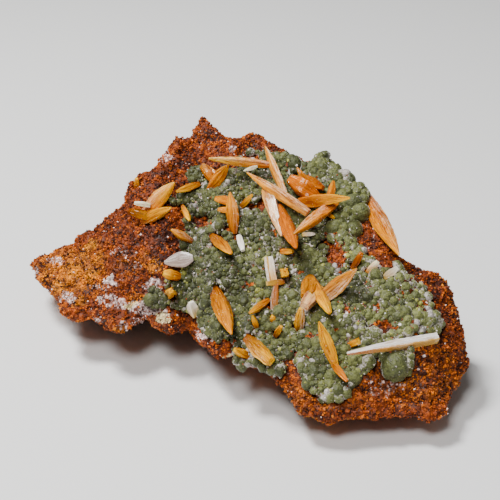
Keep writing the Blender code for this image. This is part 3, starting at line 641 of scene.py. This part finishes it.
class SPECIMEN_OT_limonite_grains(bpy.types.Operator):
    """Covers the rock with small angular grains"""

    bl_idname = "specimen.limonite_grains"
    bl_label = "Limonite grains"

    def execute(self, context):
        look = context.scene.rock_look
        rng = np.random.default_rng(SEED)
        skin = bpy.data.objects["limonite_skin"].data
        places, normals = spread_over(skin, look.grain_count, rng)
        crust = skin_tree(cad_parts["mimetite_crust"].data)
        open_air = places[:, 2] > 0.25 * MM
        for i in np.flatnonzero(open_air):
            place, normal = Vector(places[i]), Vector(normals[i])
            if crust.ray_cast(place - normal * 0.3 * MM, normal, 2.5 * MM)[0]:
                open_air[i] = False
        places, normals = places[open_air], normals[open_air]
        count = len(places)
        rises = np.array([rock_rise(Vector(p)) for p in places])
        # Grains in low places are darker: painted shade in the pits, with random tone on top
        tone = 0.34 + 0.38 * rises + 0.3 * noise_at(places, 300) + rng.normal(0, 0.24, count)
        seen = ((np.array(EYE) - places) * normals).sum(axis=1) > PAST_EDGE
        tints = rock_tints(places, seen.astype(float), tone, look)
        tints[rng.random(count) < PALE_GRAINS] = look.pale
        size = look.grain_size * np.exp(rng.normal(0, 0.35, count))
        for part, chosen in enumerate(np.array_split(np.arange(count), 5)):
            name = f"limonite_grains_{part + 1}"
            add_grains(name, places[chosen], normals[chosen], tints[chosen], size[chosen], rng)
        return {"FINISHED"}


class SPECIMEN_OT_mimetite_crust(bpy.types.Operator):
    """Makes the powdery ground between the balls of mimetite from its solid"""

    bl_idname = "specimen.mimetite_crust"
    bl_label = "Mimetite crust"

    def execute(self, context):
        look = context.scene.crust_look
        mesh, bm = smoothed_skin("mimetite_crust", "mimetite_ground", look.skin_detail, 2)
        for v in bm.verts:
            v.co = v.co + v.normal * (GROUND_ROUGHNESS * noise.noise(v.co * 1500) - GROUND_SINK)
        points = finished_places(bm, mesh)
        shade = 1 + 0.8 * noise_at(points, 420)
        # The ground between the balls is darkened to 0.7 of the green: painted shade between the balls
        tints = np.array(look.green) * shade[:, None] * 0.7
        rusty = noise_at(points, 330, (5, 3, 1))
        bare = np.clip(patch_mask(*sheet_places(points), BARE_PATCHES) * 1.6, 0, 1)
        rusty = np.maximum(bare, np.clip((rusty - 0.2) * 6, 0, 0.9))
        tints = mixed(tints, context.scene.rock_look.rust, rusty)
        set_tint(mesh, tints)
        set_value(mesh, "crown", 0.2 + 0.8 * noise_at(points, 250) + 2 * bare)
        mesh.materials.append(mimetite_material())
        add_piece("mimetite_ground", mesh, ["mimetite_crust"])
        mesh.shade_smooth()
        return {"FINISHED"}


class SPECIMEN_OT_limonite_specks(bpy.types.Operator):
    """Fills the bare patches of the crust with grains of the rock"""

    bl_idname = "specimen.limonite_specks"
    bl_label = "Limonite specks"

    def execute(self, context):
        look = context.scene.rock_look
        rng = np.random.default_rng(SEED + 2)
        places, normals = spread_over(bpy.data.objects["mimetite_ground"].data, look.speck_tries, rng)
        bare = patch_mask(*sheet_places(places), BARE_PATCHES) * 1.2
        seen = ((np.array(EYE) - places) * normals).sum(axis=1) > 0
        chosen = seen & (np.maximum(bare, 0.006) > rng.random(len(places)))
        places, normals = places[chosen], normals[chosen]
        count = len(places)
        tone = rng.normal(0.33, 0.28, count)
        tints = rock_tints(places, np.ones(count), tone, look)
        tints[rng.random(count) < PALE_SPECKS] = look.pale
        size = look.grain_size * np.exp(rng.normal(0.1, 0.35, count))
        add_grains("limonite_specks", places, normals, tints, size, rng)
        return {"FINISHED"}


def ball_spots(look, rng):
    """Places, outward directions and radii of the balls: the large ones, and others crowded between."""
    crust = skin_tree(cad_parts["mimetite_crust"].data)
    rock = skin_tree(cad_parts["limonite_matrix"].data)
    solids = bmesh.new()
    for node in CRYSTALS:
        solids.from_mesh(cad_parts[node].data)
    crystals = BVHTree.FromBMesh(solids)
    solids.free()
    spots = []
    for x, y, radius in BIG_BALLS:
        place, normal, _, _ = crust.ray_cast(EYE, sheet_ray(x, y).normalized())
        if place:
            out = (normal + (EYE - place).normalized()).normalized()
            spots.append((place - out * radius * BIG_SINK * MM, out, radius * MM))
    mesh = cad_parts["mimetite_crust"].data
    places, normals = spread_over(mesh, look.ball_tries, rng)
    sizes = look.usual_ball * np.exp(rng.normal(0, 0.36, len(places)))
    sheet_x, sheet_y = sheet_places(places)
    bare = patch_mask(sheet_x, sheet_y, BARE_PATCHES) > rng.random(len(places))
    sizes = sizes * np.interp(sheet_x, (180, 300, 400), (0.85, 0.95, 1.1))
    sizes = np.clip(sizes, look.small_ball, LARGEST_RADIUS)
    sizes = sizes * (1 + 0.5 * patch_mask(sheet_x, sheet_y, SMOOTH_PATCHES))
    order = np.argsort(-sizes * rng.uniform(0.7, 1.3, len(sizes)))
    middles = np.zeros((len(sizes) + len(spots), 3))
    radii = np.zeros(len(middles))
    for i, (middle, _, radius) in enumerate(spots):
        middles[i], radii[i] = middle, radius
    for pick in order:
        place, normal, radius = Vector(places[pick]), Vector(normals[pick]), sizes[pick]
        if bare[pick] or rock.ray_cast(place + normal * 0.05 * MM, normal, 3 * MM)[0]:
            continue
        radius = min(radius, crystals.find_nearest(place)[3] * 1.5)
        if radius < look.small_ball:
            continue
        middle = place - normal * radius * SINK
        count = len(spots)
        gaps = np.linalg.norm(middles[:count] - np.array(middle), axis=1)
        if count and (gaps < LEAST_GAP * (radii[:count] + radius)).any():
            continue
        middles[count], radii[count] = middle, radius
        spots.append((middle, normal, radius))
    return spots


def ball_mesh(detail):
    """A round ball of radius 1."""
    bm = bmesh.new()
    bmesh.ops.create_icosphere(bm, subdivisions=detail, radius=1)
    return shape_of(bm)


class SPECIMEN_OT_mimetite_balls(bpy.types.Operator):
    """Crowds round balls of mimetite over the crust"""

    bl_idname = "specimen.mimetite_balls"
    bl_label = "Mimetite balls"

    def execute(self, context):
        look = context.scene.crust_look
        rng = np.random.default_rng(SEED)
        spots = ball_spots(look, rng)
        if not spots:
            raise RuntimeError("no place was found for a ball of mimetite")
        shapes = ball_mesh(2), ball_mesh(3), ball_mesh(4)
        for part, chosen in enumerate(np.array_split(np.arange(len(spots)), 2)):
            points, faces, tints, crowns = [], [], [], []
            start = 0
            for i in chosen:
                middle, out, radius = spots[i]
                shape_points, shape_faces = shapes[(radius > FINE_RADIUS) + (radius > FINEST_RADIUS)]
                local = shape_points @ random_turns(1, rng)[0].T
                shift = Vector(rng.uniform(0, 90, 3))
                lumps = np.array([self.lump_at(Vector(p), shift) for p in local])
                stretch = rng.uniform(0.85, 1.12, 3)
                lumps = lumps * (1 - 0.65 * patch_mask(*sheet_places(np.array([middle])), SMOOTH_PATCHES)[0])
                shaped = local * (1 + look.lump * lumps)[:, None] * stretch
                points.append(shaped * radius + np.array(middle))
                faces.append(shape_faces + start)
                start += len(local)
                green, crown = self.ball_tints(local, lumps, Vector(middle), out, radius, look, rng)
                tints.append(green)
                crowns.append(crown)
            name = f"mimetite_balls_{part + 1}"
            mesh = mesh_of(name, np.concatenate(points), np.concatenate(faces), True)
            set_tint(mesh, np.concatenate(tints))
            set_value(mesh, "crown", np.concatenate(crowns))
            mesh.materials.append(mimetite_material())
            add_piece(name, mesh)
        return {"FINISHED"}

    def lump_at(self, point, shift):
        """How far a ball stands out in one direction: broad lumps with rounded facets on them."""
        facets = 0.5 - noise.voronoi(point * 2.4 + shift)[0][0]
        return noise.noise(point * 1.5 + shift) + 0.9 * facets

    def ball_tints(self, local, lumps, middle, out, radius, look, rng):
        """The green of one ball's vertices, and how near each is to its crown."""
        x, y = sheet_places(np.array([middle]))
        eastward = np.interp(x[0], (260, 400), (0, 1))
        bright = rng.random() < (0.1 if radius < 0.5 * MM else 0.0)
        lime = radius < 0.75 * MM and patch_mask(x, y, LIME_PATCHES)[0] > rng.random()
        if bright or lime:
            crown = mixed([look.light_green], [look.lime], np.array([rng.uniform(0.3, 1)]))[0]
        else:
            share = rng.beta(1.3, 2.2) + 0.25 * eastward + 0.5 * noise.noise(middle * 240)
            crown = mixed([look.green], [look.light_green], np.array([share]))[0]
        smooth = patch_mask(x, y, SMOOTH_PATCHES)[0]
        if rng.random() < 0.01 + 0.1 * eastward and radius < 0.8 * MM and not smooth:
            crown = np.array(look.frost) * rng.uniform(0.5, 0.9)
        crown = crown * (1 - 0.6 * patch_mask(x, y, DARK_GREEN_PATCHES)[0])
        # Low on a ball's flanks the pale powder shows, which is also a painted pale rim (painted sheen) round
        # each ball
        height = local @ np.array(out)
        speckle = noise_at(local, 2.6, middle * 900)
        crown = np.repeat([crown], len(local), axis=0) * (1 + 0.3 * speckle)[:, None]
        crown = crown * np.interp(x[0], (190, 330), (0.72, 1))
        less_powder_and_sheen = np.interp(x[0], (190, 300, 400), (0.35, 0.15, -0.05))
        zone = 0.55 * noise.noise(middle * 210 + Vector((9, 2, 4)))
        return crown, height + 0.35 * lumps + less_powder_and_sheen + zone + smooth + rng.uniform(-0.2, 0.2)


class SPECIMEN_OT_mimetite_crumbs(bpy.types.Operator):
    """Dusts the crust with crumbs of mimetite, pale powder and rust"""

    bl_idname = "specimen.mimetite_crumbs"
    bl_label = "Mimetite crumbs"

    def execute(self, context):
        look = context.scene.crust_look
        rng = np.random.default_rng(SEED + 1)
        found = []
        for name, share in (("mimetite_ground", 0.5), ("mimetite_balls_1", 0.25), ("mimetite_balls_2", 0.25)):
            found.append(spread_over(bpy.data.objects[name].data, int(look.crumb_count * share), rng))
        places = np.concatenate([place for place, _ in found])
        normals = np.concatenate([normal for _, normal in found])
        rock = skin_tree(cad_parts["limonite_matrix"].data)
        rays = zip(places, normals)
        keep = np.array([rock.ray_cast(Vector(place), Vector(out), 2 * MM)[0] is None for place, out in rays])
        keep &= places[:, 2] > 0.3 * MM
        places, normals = places[keep], normals[keep]
        count = len(places)
        size = look.crumb_size * np.exp(rng.normal(0, 0.4, count))
        kinds = np.array([look.frost, look.light_green, look.lime, context.scene.rock_look.rust, WHITE])
        picked = rng.choice(len(kinds), count, p=(0.34, 0.38, 0.12, 0.08, 0.08))
        brightness = 1 + 0.5 * noise_at(places, 230)
        tints = kinds[picked] * rng.uniform(0.6, 1.25, (count, 1)) * brightness[:, None]
        turns = random_turns(count, rng) * (size[:, None] * rng.uniform(0.7, 1.3, (count, 3)))[:, None, :]
        shape = grain_shape()
        points, faces = repeated(shape, turns, places + normals * (size * 0.2)[:, None])
        mesh = mesh_of("mimetite_crumbs", points, faces, False)
        set_tint(mesh, np.repeat(np.clip(tints, 0, 1), len(shape[0]), axis=0))
        set_value(mesh, "crown", np.full(len(points), 2.0))
        mesh.materials.append(mimetite_material())
        add_piece("mimetite_crumbs", mesh)
        return {"FINISHED"}


def girth(crystal, share):
    """The width at a share of the way from root to tip, as a part of the full width."""
    if share < crystal.belly:
        away = 1 - share / crystal.belly
        end = crystal.root_share
    else:
        away = (share - crystal.belly) / (1 - crystal.belly)
        end = crystal.tip_share
    return 1 - (1 - end) * away**TAPER


def spindle_block(large, look):
    """A square bar of length and width 2, cut into a grid of faces on every side."""
    bm = bmesh.new()
    bmesh.ops.create_cube(bm, size=2)
    long_edges = [e for e in bm.edges if abs(e.verts[0].co.z - e.verts[1].co.z) > 1]
    bmesh.ops.subdivide_edges(bm, edges=long_edges, cuts=look.rings if large else look.rings // 2)
    cross_edges = [e for e in bm.edges if abs(e.verts[0].co.z - e.verts[1].co.z) < 1e-4]
    cuts = look.columns if large else look.columns // 2
    bmesh.ops.subdivide_edges(bm, edges=cross_edges, cuts=cuts, use_grid_fill=True)
    return bm


def crystal_mesh(crystal, number, look):
    """One four-sided spindle with grooved, stepped faces, and the colour, painted glare and grain of its
    vertices.
    """
    root = spot(*crystal.root)
    tip = spot(*crystal.tip)
    length = (tip - root).length
    along = (tip - root).normalized()
    across = along.cross(EYE - root).normalized()
    deep = across.cross(along)
    half = 0.5 * crystal.width * SHEET_UNIT * (EYE - root).length / EYE_DISTANCE
    bm = spindle_block(crystal.width > LARGE_WIDTH, look)
    turn = Matrix.Rotation(math.radians(crystal.roll - 45), 3, "Z")
    reach = max((turn @ Vector((x, y, 0))).x for x in (-1, 1) for y in (-1, 1))
    shift = Vector((number * 7.3, number * 3.1, number * 1.7))
    tints, glare_amounts, grains = [], [], []
    for v in bm.verts:
        share = (v.co.z + 1) / 2
        x, y = v.co.x, v.co.y
        rounding = (abs(x) ** CORNER_POWER + abs(y) ** CORNER_POWER) ** (1 / CORNER_POWER)
        rounding = max(rounding, 1)
        corner = turn @ Vector((x, y, 0)) / (reach * rounding)
        grooves = noise.noise(Vector((x * GROOVE_ACROSS, y * GROOVE_ACROSS, share * GROOVE_ALONG)) + shift)
        height = share * length / MM * STEP_ALONG
        steps = noise.noise(Vector((x * STEP_ACROSS, y * STEP_ACROSS, height)) + shift)
        stout = half * girth(crystal, share) * (1 + look.groove * grooves + look.step * steps)
        place = across * corner.x * stout + deep * corner.y * stout * crystal.flat
        grain = Vector((corner.x * half, corner.y * half, share * length * LENGTHWISE)) / MM + shift
        v.co = root.lerp(tip, share) + place
        # One side is whitened as a painted glare that fades across the crystal; past 1 it whitens the tint as
        # well
        side = corner.x * math.copysign(GLARE_SLOPE, crystal.frost) + GLARE_START
        glared = abs(crystal.frost) * max(0.0, min(1.0, side))
        tint = np.array(crystal.low) * (1 - share) + np.array(crystal.high) * share
        tint_glare = min(MOST_GLARE, max(0.0, glared - 1))
        tints.append(tint * (1 - tint_glare) + np.array(WHITE) * tint_glare)
        glare_amounts.append(glared)
        grains.append(grain)
    bm.normal_update()
    bmesh.ops.recalc_face_normals(bm, faces=bm.faces)
    mesh = bpy.data.meshes.new("crystal")
    bm.to_mesh(mesh)
    bm.free()
    return mesh, tints, glare_amounts, grains


class SPECIMEN_OT_wulfenite_crystals(bpy.types.Operator):
    """Makes every wulfenite crystal in the place of its solid"""

    bl_idname = "specimen.wulfenite_crystals"
    bl_label = "Wulfenite crystals"

    def execute(self, context):
        look = context.scene.crystal_look
        orange, pale = wulfenite_material(), pale_wulfenite_material()
        number = 0
        for node, group in CRYSTALS.items():
            bm = bmesh.new()
            tints, glare_amounts, grains = [], [], []
            for crystal in group:
                part, part_tints, part_glare_amounts, part_grains = crystal_mesh(crystal, number, look)
                bm.from_mesh(part)
                bpy.data.meshes.remove(part)
                tints.extend(part_tints)
                glare_amounts.extend(part_glare_amounts)
                grains.extend(part_grains)
                number += 1
            for face in bm.faces:
                face.smooth = True
            mesh = bpy.data.meshes.new(node + "_crystal")
            bm.to_mesh(mesh)
            bm.free()
            mesh.set_sharp_from_angle(angle=SHARP_EDGE)
            set_tint(mesh, np.array(tints))
            set_value(mesh, "glared", glare_amounts)
            grain = mesh.attributes.new("grain", "FLOAT_VECTOR", "POINT")
            grain.data.foreach_set("vector", np.array(grains, np.float32).ravel())
            is_pale = node in PALE_NODES
            mesh.materials.append(pale if is_pale else orange)
            add_piece(node + "_crystal", mesh, [node])
        return {"FINISHED"}


# The shaders' noise: scales per metre, and spans of its value that an effect follows from none to full
MID_GREY = (0.5, 0.5, 0.5, 1)
NEAR_WHITE = (0.9, 0.9, 0.9, 1)
KNOB_SCALE = 2600
# How the pale powder and painted sheen cover a surface, from its crown value
POWDER_AND_SHEEN_SPAN, POWDER_AND_SHEEN_COVER = (0.1, -0.3), (0.0, 0.9)
BAND_SPAN, DARK_BAND, LIGHT_BAND = (0.56, 0.92), (0.4, 0.22, 0.15, 1), (1.3, 1.35, 1.0, 1)
# The streak and sparkle noise spread the painted glare over a crystal
STREAK_SPAN, STREAK_GLARE = (0.42, 0.62), (0.0, 1.6)
SPARKLE_SCALE, SPARKLE_SPAN, SPARKLE_GLARE = 4200, (0.4, 0.58), (0.35, 1.0)
# The fine bright lines and flecks on the crystals are painted glints
GLINT_LINE_FINENESS, GLINT_LINE_SPAN = 1.35, (0.68, 0.72)
GLINT_FLECK_SPAN = (0.69, 0.73)
EARTHY_SPAN, GLASSY_SPAN = (0.7, 1.3), (0.3, 0.7)


def new_material(name):
    """A new material, its node tree and its shader."""
    material = bpy.data.materials.new(name)
    material.use_nodes = True
    return material, material.node_tree, material.node_tree.nodes["Principled BSDF"]


def fill_inputs(tree, node, inputs):
    """Sets each of these inputs of a node to its value, or links it where the value is an output."""
    for name, value in inputs.items():
        if isinstance(value, bpy.types.NodeSocket):
            tree.links.new(value, node.inputs[name])
        else:
            node.inputs[name].default_value = value


def add_node(tree, kind, inputs=None, **settings):
    """A new shader node with these settings and inputs."""
    node = tree.nodes.new("ShaderNode" + kind)
    for name, value in settings.items():
        setattr(node, name, value)
    fill_inputs(tree, node, inputs or {})
    return node


def math_of(tree, operation, *values, clamp=False):
    """The result of a Math node."""
    return add_node(tree, "Math", dict(enumerate(values)), operation=operation, use_clamp=clamp).outputs[0]


def ranged(tree, value, span, result=(0.0, 1.0)):
    """A value that goes from one result to the other as the given one goes over its span."""
    ends = {"From Min": span[0], "From Max": span[1], "To Min": result[0], "To Max": result[1]}
    return add_node(tree, "MapRange", {"Value": value, **ends}).outputs["Result"]


def blended(tree, factor, first, second, way="MIX"):
    """Two colours blended by a factor."""
    inputs = {"Factor": factor, "A": first, "B": second}
    return add_node(tree, "Mix", inputs, data_type="RGBA", blend_type=way).outputs["Result"]


def noise_of(tree, place, scale, detail, roughness=0.5):
    """The value of a noise texture."""
    inputs = {"Vector": place, "Scale": scale, "Detail": detail, "Roughness": roughness}
    return add_node(tree, "TexNoise", inputs).outputs["Fac"]


def relief_of(tree, height, strength, distance):
    """A bump node that follows a height."""
    return add_node(tree, "Bump", {"Height": height, "Strength": strength, "Distance": distance})


def read_attribute(tree, name, output):
    """The mesh's own value of this name."""
    return add_node(tree, "Attribute", attribute_name=name).outputs[output]


def start_group(name, inputs):
    """A shader group that puts out a colour and a height: the group, its given values and its end node."""
    group = bpy.data.node_groups.new(name, "ShaderNodeTree")
    for label, kind, default in inputs:
        made = group.interface.new_socket(name=label, in_out="INPUT", socket_type=kind)
        made.default_value = default
    for label, kind in (("Colour", "NodeSocketColor"), ("Height", "NodeSocketFloat")):
        group.interface.new_socket(name=label, in_out="OUTPUT", socket_type=kind)
    return group, group.nodes.new("NodeGroupInput").outputs, group.nodes.new("NodeGroupOutput")


def mottle_group():
    """Shader group: a tint broken up by two sizes of noise, and the height of its grain."""
    if "Mottle" in bpy.data.node_groups:
        return bpy.data.node_groups["Mottle"]
    group, given, result = start_group("Mottle", (
        ("Tint", "NodeSocketColor", MID_GREY),
        ("Coarse", "NodeSocketFloat", 600.0),
        ("Fine", "NodeSocketFloat", 2500.0),
        ("Strength", "NodeSocketFloat", 0.4),
    ))
    place = add_node(group, "TexCoord").outputs["Object"]
    height = math_of(group, "ADD", *(noise_of(group, place, given[size], 4) for size in ("Coarse", "Fine")))
    spread = math_of(group, "MULTIPLY", math_of(group, "SUBTRACT", height, 1.0), given["Strength"])
    value = math_of(group, "MULTIPLY_ADD", spread, 4, 1)
    shade = add_node(group, "HueSaturation", {"Color": given["Tint"], "Value": value})
    fill_inputs(group, result, {"Colour": shade.outputs["Color"], "Height": height})
    return group


def tinted_material(name, coarse, fine, strength, bump):
    """A material whose colour is the mesh's own tint, mottled, with a fine bump."""
    material, tree, shader = new_material(name)
    tint = read_attribute(tree, "tint", "Color")
    inputs = {"Tint": tint, "Coarse": coarse, "Fine": fine, "Strength": strength}
    mottle = add_node(tree, "Group", inputs, node_tree=mottle_group()).outputs
    relief = relief_of(tree, mottle["Height"], bump, 0.1 * MM)
    fill_inputs(tree, shader, {"Base Color": mottle["Colour"], "Normal": relief.outputs["Normal"]})
    return material, tree, shader, mottle, relief


def limonite_material():
    """Rough, earthy limonite."""
    if "earthy limonite" in bpy.data.materials:
        return bpy.data.materials["earthy limonite"]
    material, tree, shader, mottle, _ = tinted_material("earthy limonite", 900, 5600, 0.55, 0.5)
    rough = ranged(tree, mottle["Height"], EARTHY_SPAN, (0.4, 0.85))
    fill_inputs(tree, shader, {"Roughness": rough, "IOR": 1.4, "Specular IOR Level": 0.4})
    return material


def powder_and_sheen_group():
    """Shader group: a pale powder that lies where a surface is far from the crown of its ball; on the balls'
    flanks it is also a painted sheen, a pale rim.
    """
    if "Powder" in bpy.data.node_groups:
        return bpy.data.node_groups["Powder"]
    group, given, result = start_group("Powder", (
        ("Tint", "NodeSocketColor", MID_GREY),
        ("Powder and Sheen Colour", "NodeSocketColor", NEAR_WHITE),
        ("Crown", "NodeSocketFloat", 1.0),
        ("Scale", "NodeSocketFloat", 4200.0),
    ))
    place = add_node(group, "TexCoord").outputs["Object"]
    knobs = add_node(group, "TexVoronoi", {"Vector": place, "Scale": KNOB_SCALE}).outputs["Distance"]
    ragged = math_of(group, "MULTIPLY_ADD", noise_of(group, place, given["Scale"], 4), 1.6, -0.8)
    between = math_of(group, "MULTIPLY_ADD", knobs, -0.65, ragged)
    cover = ranged(group, math_of(group, "ADD", given["Crown"], between), POWDER_AND_SHEEN_SPAN, POWDER_AND_SHEEN_COVER)
    dusted = blended(group, cover, given["Tint"], given["Powder and Sheen Colour"])
    fill_inputs(group, result, {"Colour": dusted, "Height": math_of(group, "SUBTRACT", 1, knobs)})
    return group


def mimetite_material():
    """Resinous mimetite dusted with a pale powder, which on the balls' flanks is also a painted sheen."""
    if "powdered mimetite" in bpy.data.materials:
        return bpy.data.materials["powdered mimetite"]
    material, tree, shader, mottle, relief = tinted_material("powdered mimetite", 1500, 6500, 0.55, 0.6)
    powder = add_node(tree, "Group", {
        "Powder and Sheen Colour": (*bpy.context.scene.crust_look.frost, 1),
        "Crown": read_attribute(tree, "crown", "Fac"),
        "Tint": mottle["Colour"],
    }, node_tree=powder_and_sheen_group()).outputs
    knobs = relief_of(tree, powder["Height"], 0.7, 0.16 * MM)
    fill_inputs(tree, relief, {"Normal": knobs.outputs["Normal"]})
    fill_inputs(tree, shader, {
        "Base Color": powder["Colour"],
        "Roughness": ranged(tree, mottle["Height"], EARTHY_SPAN, (0.35, 0.7)),
        "IOR": 1.5,
        "Specular IOR Level": 0.35,
        "Sheen Weight": 0.45,
        "Sheen Roughness": 0.25,
        "Sheen Tint": (0.95, 0.93, 0.85, 1),
    })
    return material


def striae_group():
    """Shader group: painted glare in long streaks, painted glints in fine lines and flecks, and the height of
    long, fine grooves, from a lengthwise grain.
    """
    if "Striae" in bpy.data.node_groups:
        return bpy.data.node_groups["Striae"]
    group, given, result = start_group("Striae", (
        ("Tint", "NodeSocketColor", MID_GREY),
        ("Glare Colour", "NodeSocketColor", NEAR_WHITE),
        ("Glared", "NodeSocketFloat", 0.0),
        ("Grain", "NodeSocketVector", (0, 0, 0)),
        ("Fineness", "NodeSocketFloat", 4.0),
        ("Shading", "NodeSocketFloat", 0.5),
        ("Glint Lines", "NodeSocketFloat", 0.5),
        ("Glint Colour", "NodeSocketColor", NEAR_WHITE),
        ("Glint Flecks", "NodeSocketFloat", 0.35),
    ))
    grain = given["Grain"]
    streak = noise_of(group, grain, given["Fineness"], 5, 0.65)
    blotched = math_of(group, "MULTIPLY_ADD", noise_of(group, grain, 1.1, 2), 0.5, streak)
    band = blended(group, ranged(group, blotched, BAND_SPAN), DARK_BAND, LIGHT_BAND)
    shade = blended(group, given["Shading"], given["Tint"], band, "MULTIPLY")
    place = add_node(group, "TexCoord").outputs["Object"]
    sparkle = noise_of(group, place, SPARKLE_SCALE, 1)
    streaks = ranged(group, streak, STREAK_SPAN, STREAK_GLARE)
    speckled = math_of(group, "MULTIPLY", streaks, ranged(group, sparkle, SPARKLE_SPAN, SPARKLE_GLARE))
    glared = math_of(group, "MULTIPLY", speckled, given["Glared"], clamp=True)
    colour = blended(group, glared, shade, given["Glare Colour"])
    # Painted glints: bright lines along the grain, and flecks
    fineness = math_of(group, "MULTIPLY", given["Fineness"], GLINT_LINE_FINENESS)
    glint_line = ranged(group, noise_of(group, grain, fineness, 3), GLINT_LINE_SPAN)
    glint_fleck = ranged(group, sparkle, GLINT_FLECK_SPAN)
    for mark, amount, mark_colour in (
        (glint_line, given["Glint Lines"], given["Glint Colour"]), (glint_fleck, given["Glint Flecks"], given["Glare Colour"]),
    ):
        colour = blended(group, math_of(group, "MULTIPLY", mark, amount), colour, mark_colour)
    fill_inputs(group, result, {"Colour": colour, "Height": streak})
    return group


def crystal_material(name, fineness, shading, roughness, frost, glint_line):
    """A glassy material streaked along the crystal, with painted glare and fine lines of painted glints, of
    their own colours.
    """
    material, tree, shader = new_material(name)
    striae = add_node(tree, "Group", {
        "Fineness": fineness,
        "Shading": shading,
        "Glare Colour": (*frost, 1),
        "Glint Colour": (*glint_line, 1),
        "Tint": read_attribute(tree, "tint", "Color"),
        "Glared": read_attribute(tree, "glared", "Fac"),
        "Grain": read_attribute(tree, "grain", "Vector"),
    }, node_tree=striae_group()).outputs
    fill_inputs(tree, shader, {
        "Base Color": striae["Colour"],
        "Normal": relief_of(tree, striae["Height"], 0.3, 0.12 * MM).outputs["Normal"],
        "Roughness": ranged(tree, striae["Height"], GLASSY_SPAN, roughness),
    })
    return material, tree, shader


def wulfenite_material():
    """Orange to yellow wulfenite with a resinous gloss."""
    if "streaked wulfenite" in bpy.data.materials:
        return bpy.data.materials["streaked wulfenite"]
    frost = bpy.context.scene.crystal_look.frost
    material, tree, shader = crystal_material("streaked wulfenite", 3.6, 1.0, (0.06, 0.2), frost, GOLD)
    fill_inputs(tree, shader, {
        "IOR": 1.6,
        "Specular IOR Level": 0.08,
        "Specular Tint": (1.0, 0.7, 0.35, 1),
        "Coat Weight": 0.16,
        "Coat Roughness": 0.06,
        "Subsurface Weight": 0.35,
        "Subsurface Radius": (1.0, 0.4, 0.1),
        "Subsurface Scale": 0.7 * MM,
    })
    return material


def pale_wulfenite_material():
    """Pale wulfenite, pearly and a little see-through."""
    if "pearly wulfenite" in bpy.data.materials:
        return bpy.data.materials["pearly wulfenite"]
    material, tree, shader = crystal_material("pearly wulfenite", 2.8, 0.45, (0.2, 0.35), WHITE, WHITE)
    fill_inputs(tree, shader, {
        "IOR": 1.9,
        "Coat Weight": 0.8,
        "Coat Roughness": 0.22,
        "Sheen Weight": 0.6,
        "Sheen Roughness": 0.35,
        "Transmission Weight": 0.06,
    })
    return material


class SPECIMEN_OT_stage(bpy.types.Operator):
    """Adds the floor, the studio lights and the camera"""

    bl_idname = "specimen.stage"
    bl_label = "Stage"

    def execute(self, context):
        look = context.scene.stage_look
        bm = bmesh.new()
        bmesh.ops.create_grid(bm, x_segments=1, y_segments=1, size=look.floor_size / 2)
        mesh = bpy.data.meshes.new("floor")
        bm.to_mesh(mesh)
        bm.free()
        floor = bpy.data.objects.new("floor", mesh)
        context.scene.collection.objects.link(floor)
        material, _, shader = new_material("floor")
        shader.inputs["Base Color"].default_value = (*look.floor_colour, 1)
        shader.inputs["Roughness"].default_value = 0.6
        mesh.materials.append(material)
        self.add_light("key", KEY_PLACE, KEY_SIZE, look.key_power)
        self.add_light("fill", FILL_PLACE, FILL_SIZE, look.fill_power)
        world = bpy.data.worlds.new("studio")
        world.use_nodes = True
        background = world.node_tree.nodes["Background"]
        background.inputs["Color"].default_value = (1.0, 0.98, 0.95, 1)
        background.inputs["Strength"].default_value = look.room_light
        context.scene.world = world
        camera = bpy.data.cameras.new("camera")
        camera.sensor_width = SENSOR_WIDTH
        camera.lens = SENSOR_WIDTH * EYE_DISTANCE / (2 * SHEET_MIDDLE * SHEET_UNIT)
        camera.clip_start = 0.01
        holder = bpy.data.objects.new("camera", camera)
        context.scene.collection.objects.link(holder)
        holder.location = EYE
        holder.rotation_euler = AHEAD.to_track_quat("-Z", "Y").to_euler()
        context.scene.camera = holder
        return {"FINISHED"}

    def add_light(self, name, place, size, power):
        """Adds a square lamp that faces the specimen."""
        light = bpy.data.lights.new(name, "AREA")
        light.size = size
        light.energy = power
        lamp = bpy.data.objects.new(name, light)
        bpy.context.scene.collection.objects.link(lamp)
        lamp.location = place
        lamp.rotation_euler = (Vector(place) - AIM).to_track_quat("Z", "Y").to_euler()


OPERATORS = (
    SPECIMEN_OT_limonite_skin,
    SPECIMEN_OT_limonite_grains,
    SPECIMEN_OT_mimetite_crust,
    SPECIMEN_OT_limonite_specks,
    SPECIMEN_OT_mimetite_balls,
    SPECIMEN_OT_mimetite_crumbs,
    SPECIMEN_OT_wulfenite_crystals,
    SPECIMEN_OT_stage,
)
LOOKS = {"rock_look": RockLook, "crust_look": CrustLook, "crystal_look": CrystalLook, "stage_look": StageLook}


class SPECIMEN_PT_pieces(bpy.types.Panel):
    """Lists the steps that dress the specimen"""

    bl_idname = "SPECIMEN_PT_pieces"
    bl_label = "Specimen"
    bl_space_type = "VIEW_3D"
    bl_region_type = "UI"
    bl_category = "Specimen"

    def draw(self, context):
        for name, look in LOOKS.items():
            for prop in look.__annotations__:
                self.layout.prop(getattr(context.scene, name), prop)
        for operator in OPERATORS:
            self.layout.operator(operator.bl_idname)


def register():
    for made in (*LOOKS.values(), *OPERATORS, SPECIMEN_PT_pieces):
        bpy.utils.register_class(made)
    for name, look in LOOKS.items():
        setattr(bpy.types.Scene, name, PointerProperty(type=look))


def unregister():
    for name in LOOKS:
        delattr(bpy.types.Scene, name)
    for made in (SPECIMEN_PT_pieces, *reversed(OPERATORS), *LOOKS.values()):
        bpy.utils.unregister_class(made)


def main():
    register()
    for operator in OPERATORS:
        group, name = operator.bl_idname.split(".")
        getattr(getattr(bpy.ops, group), name)()


if __name__ == "__main__":
    main()
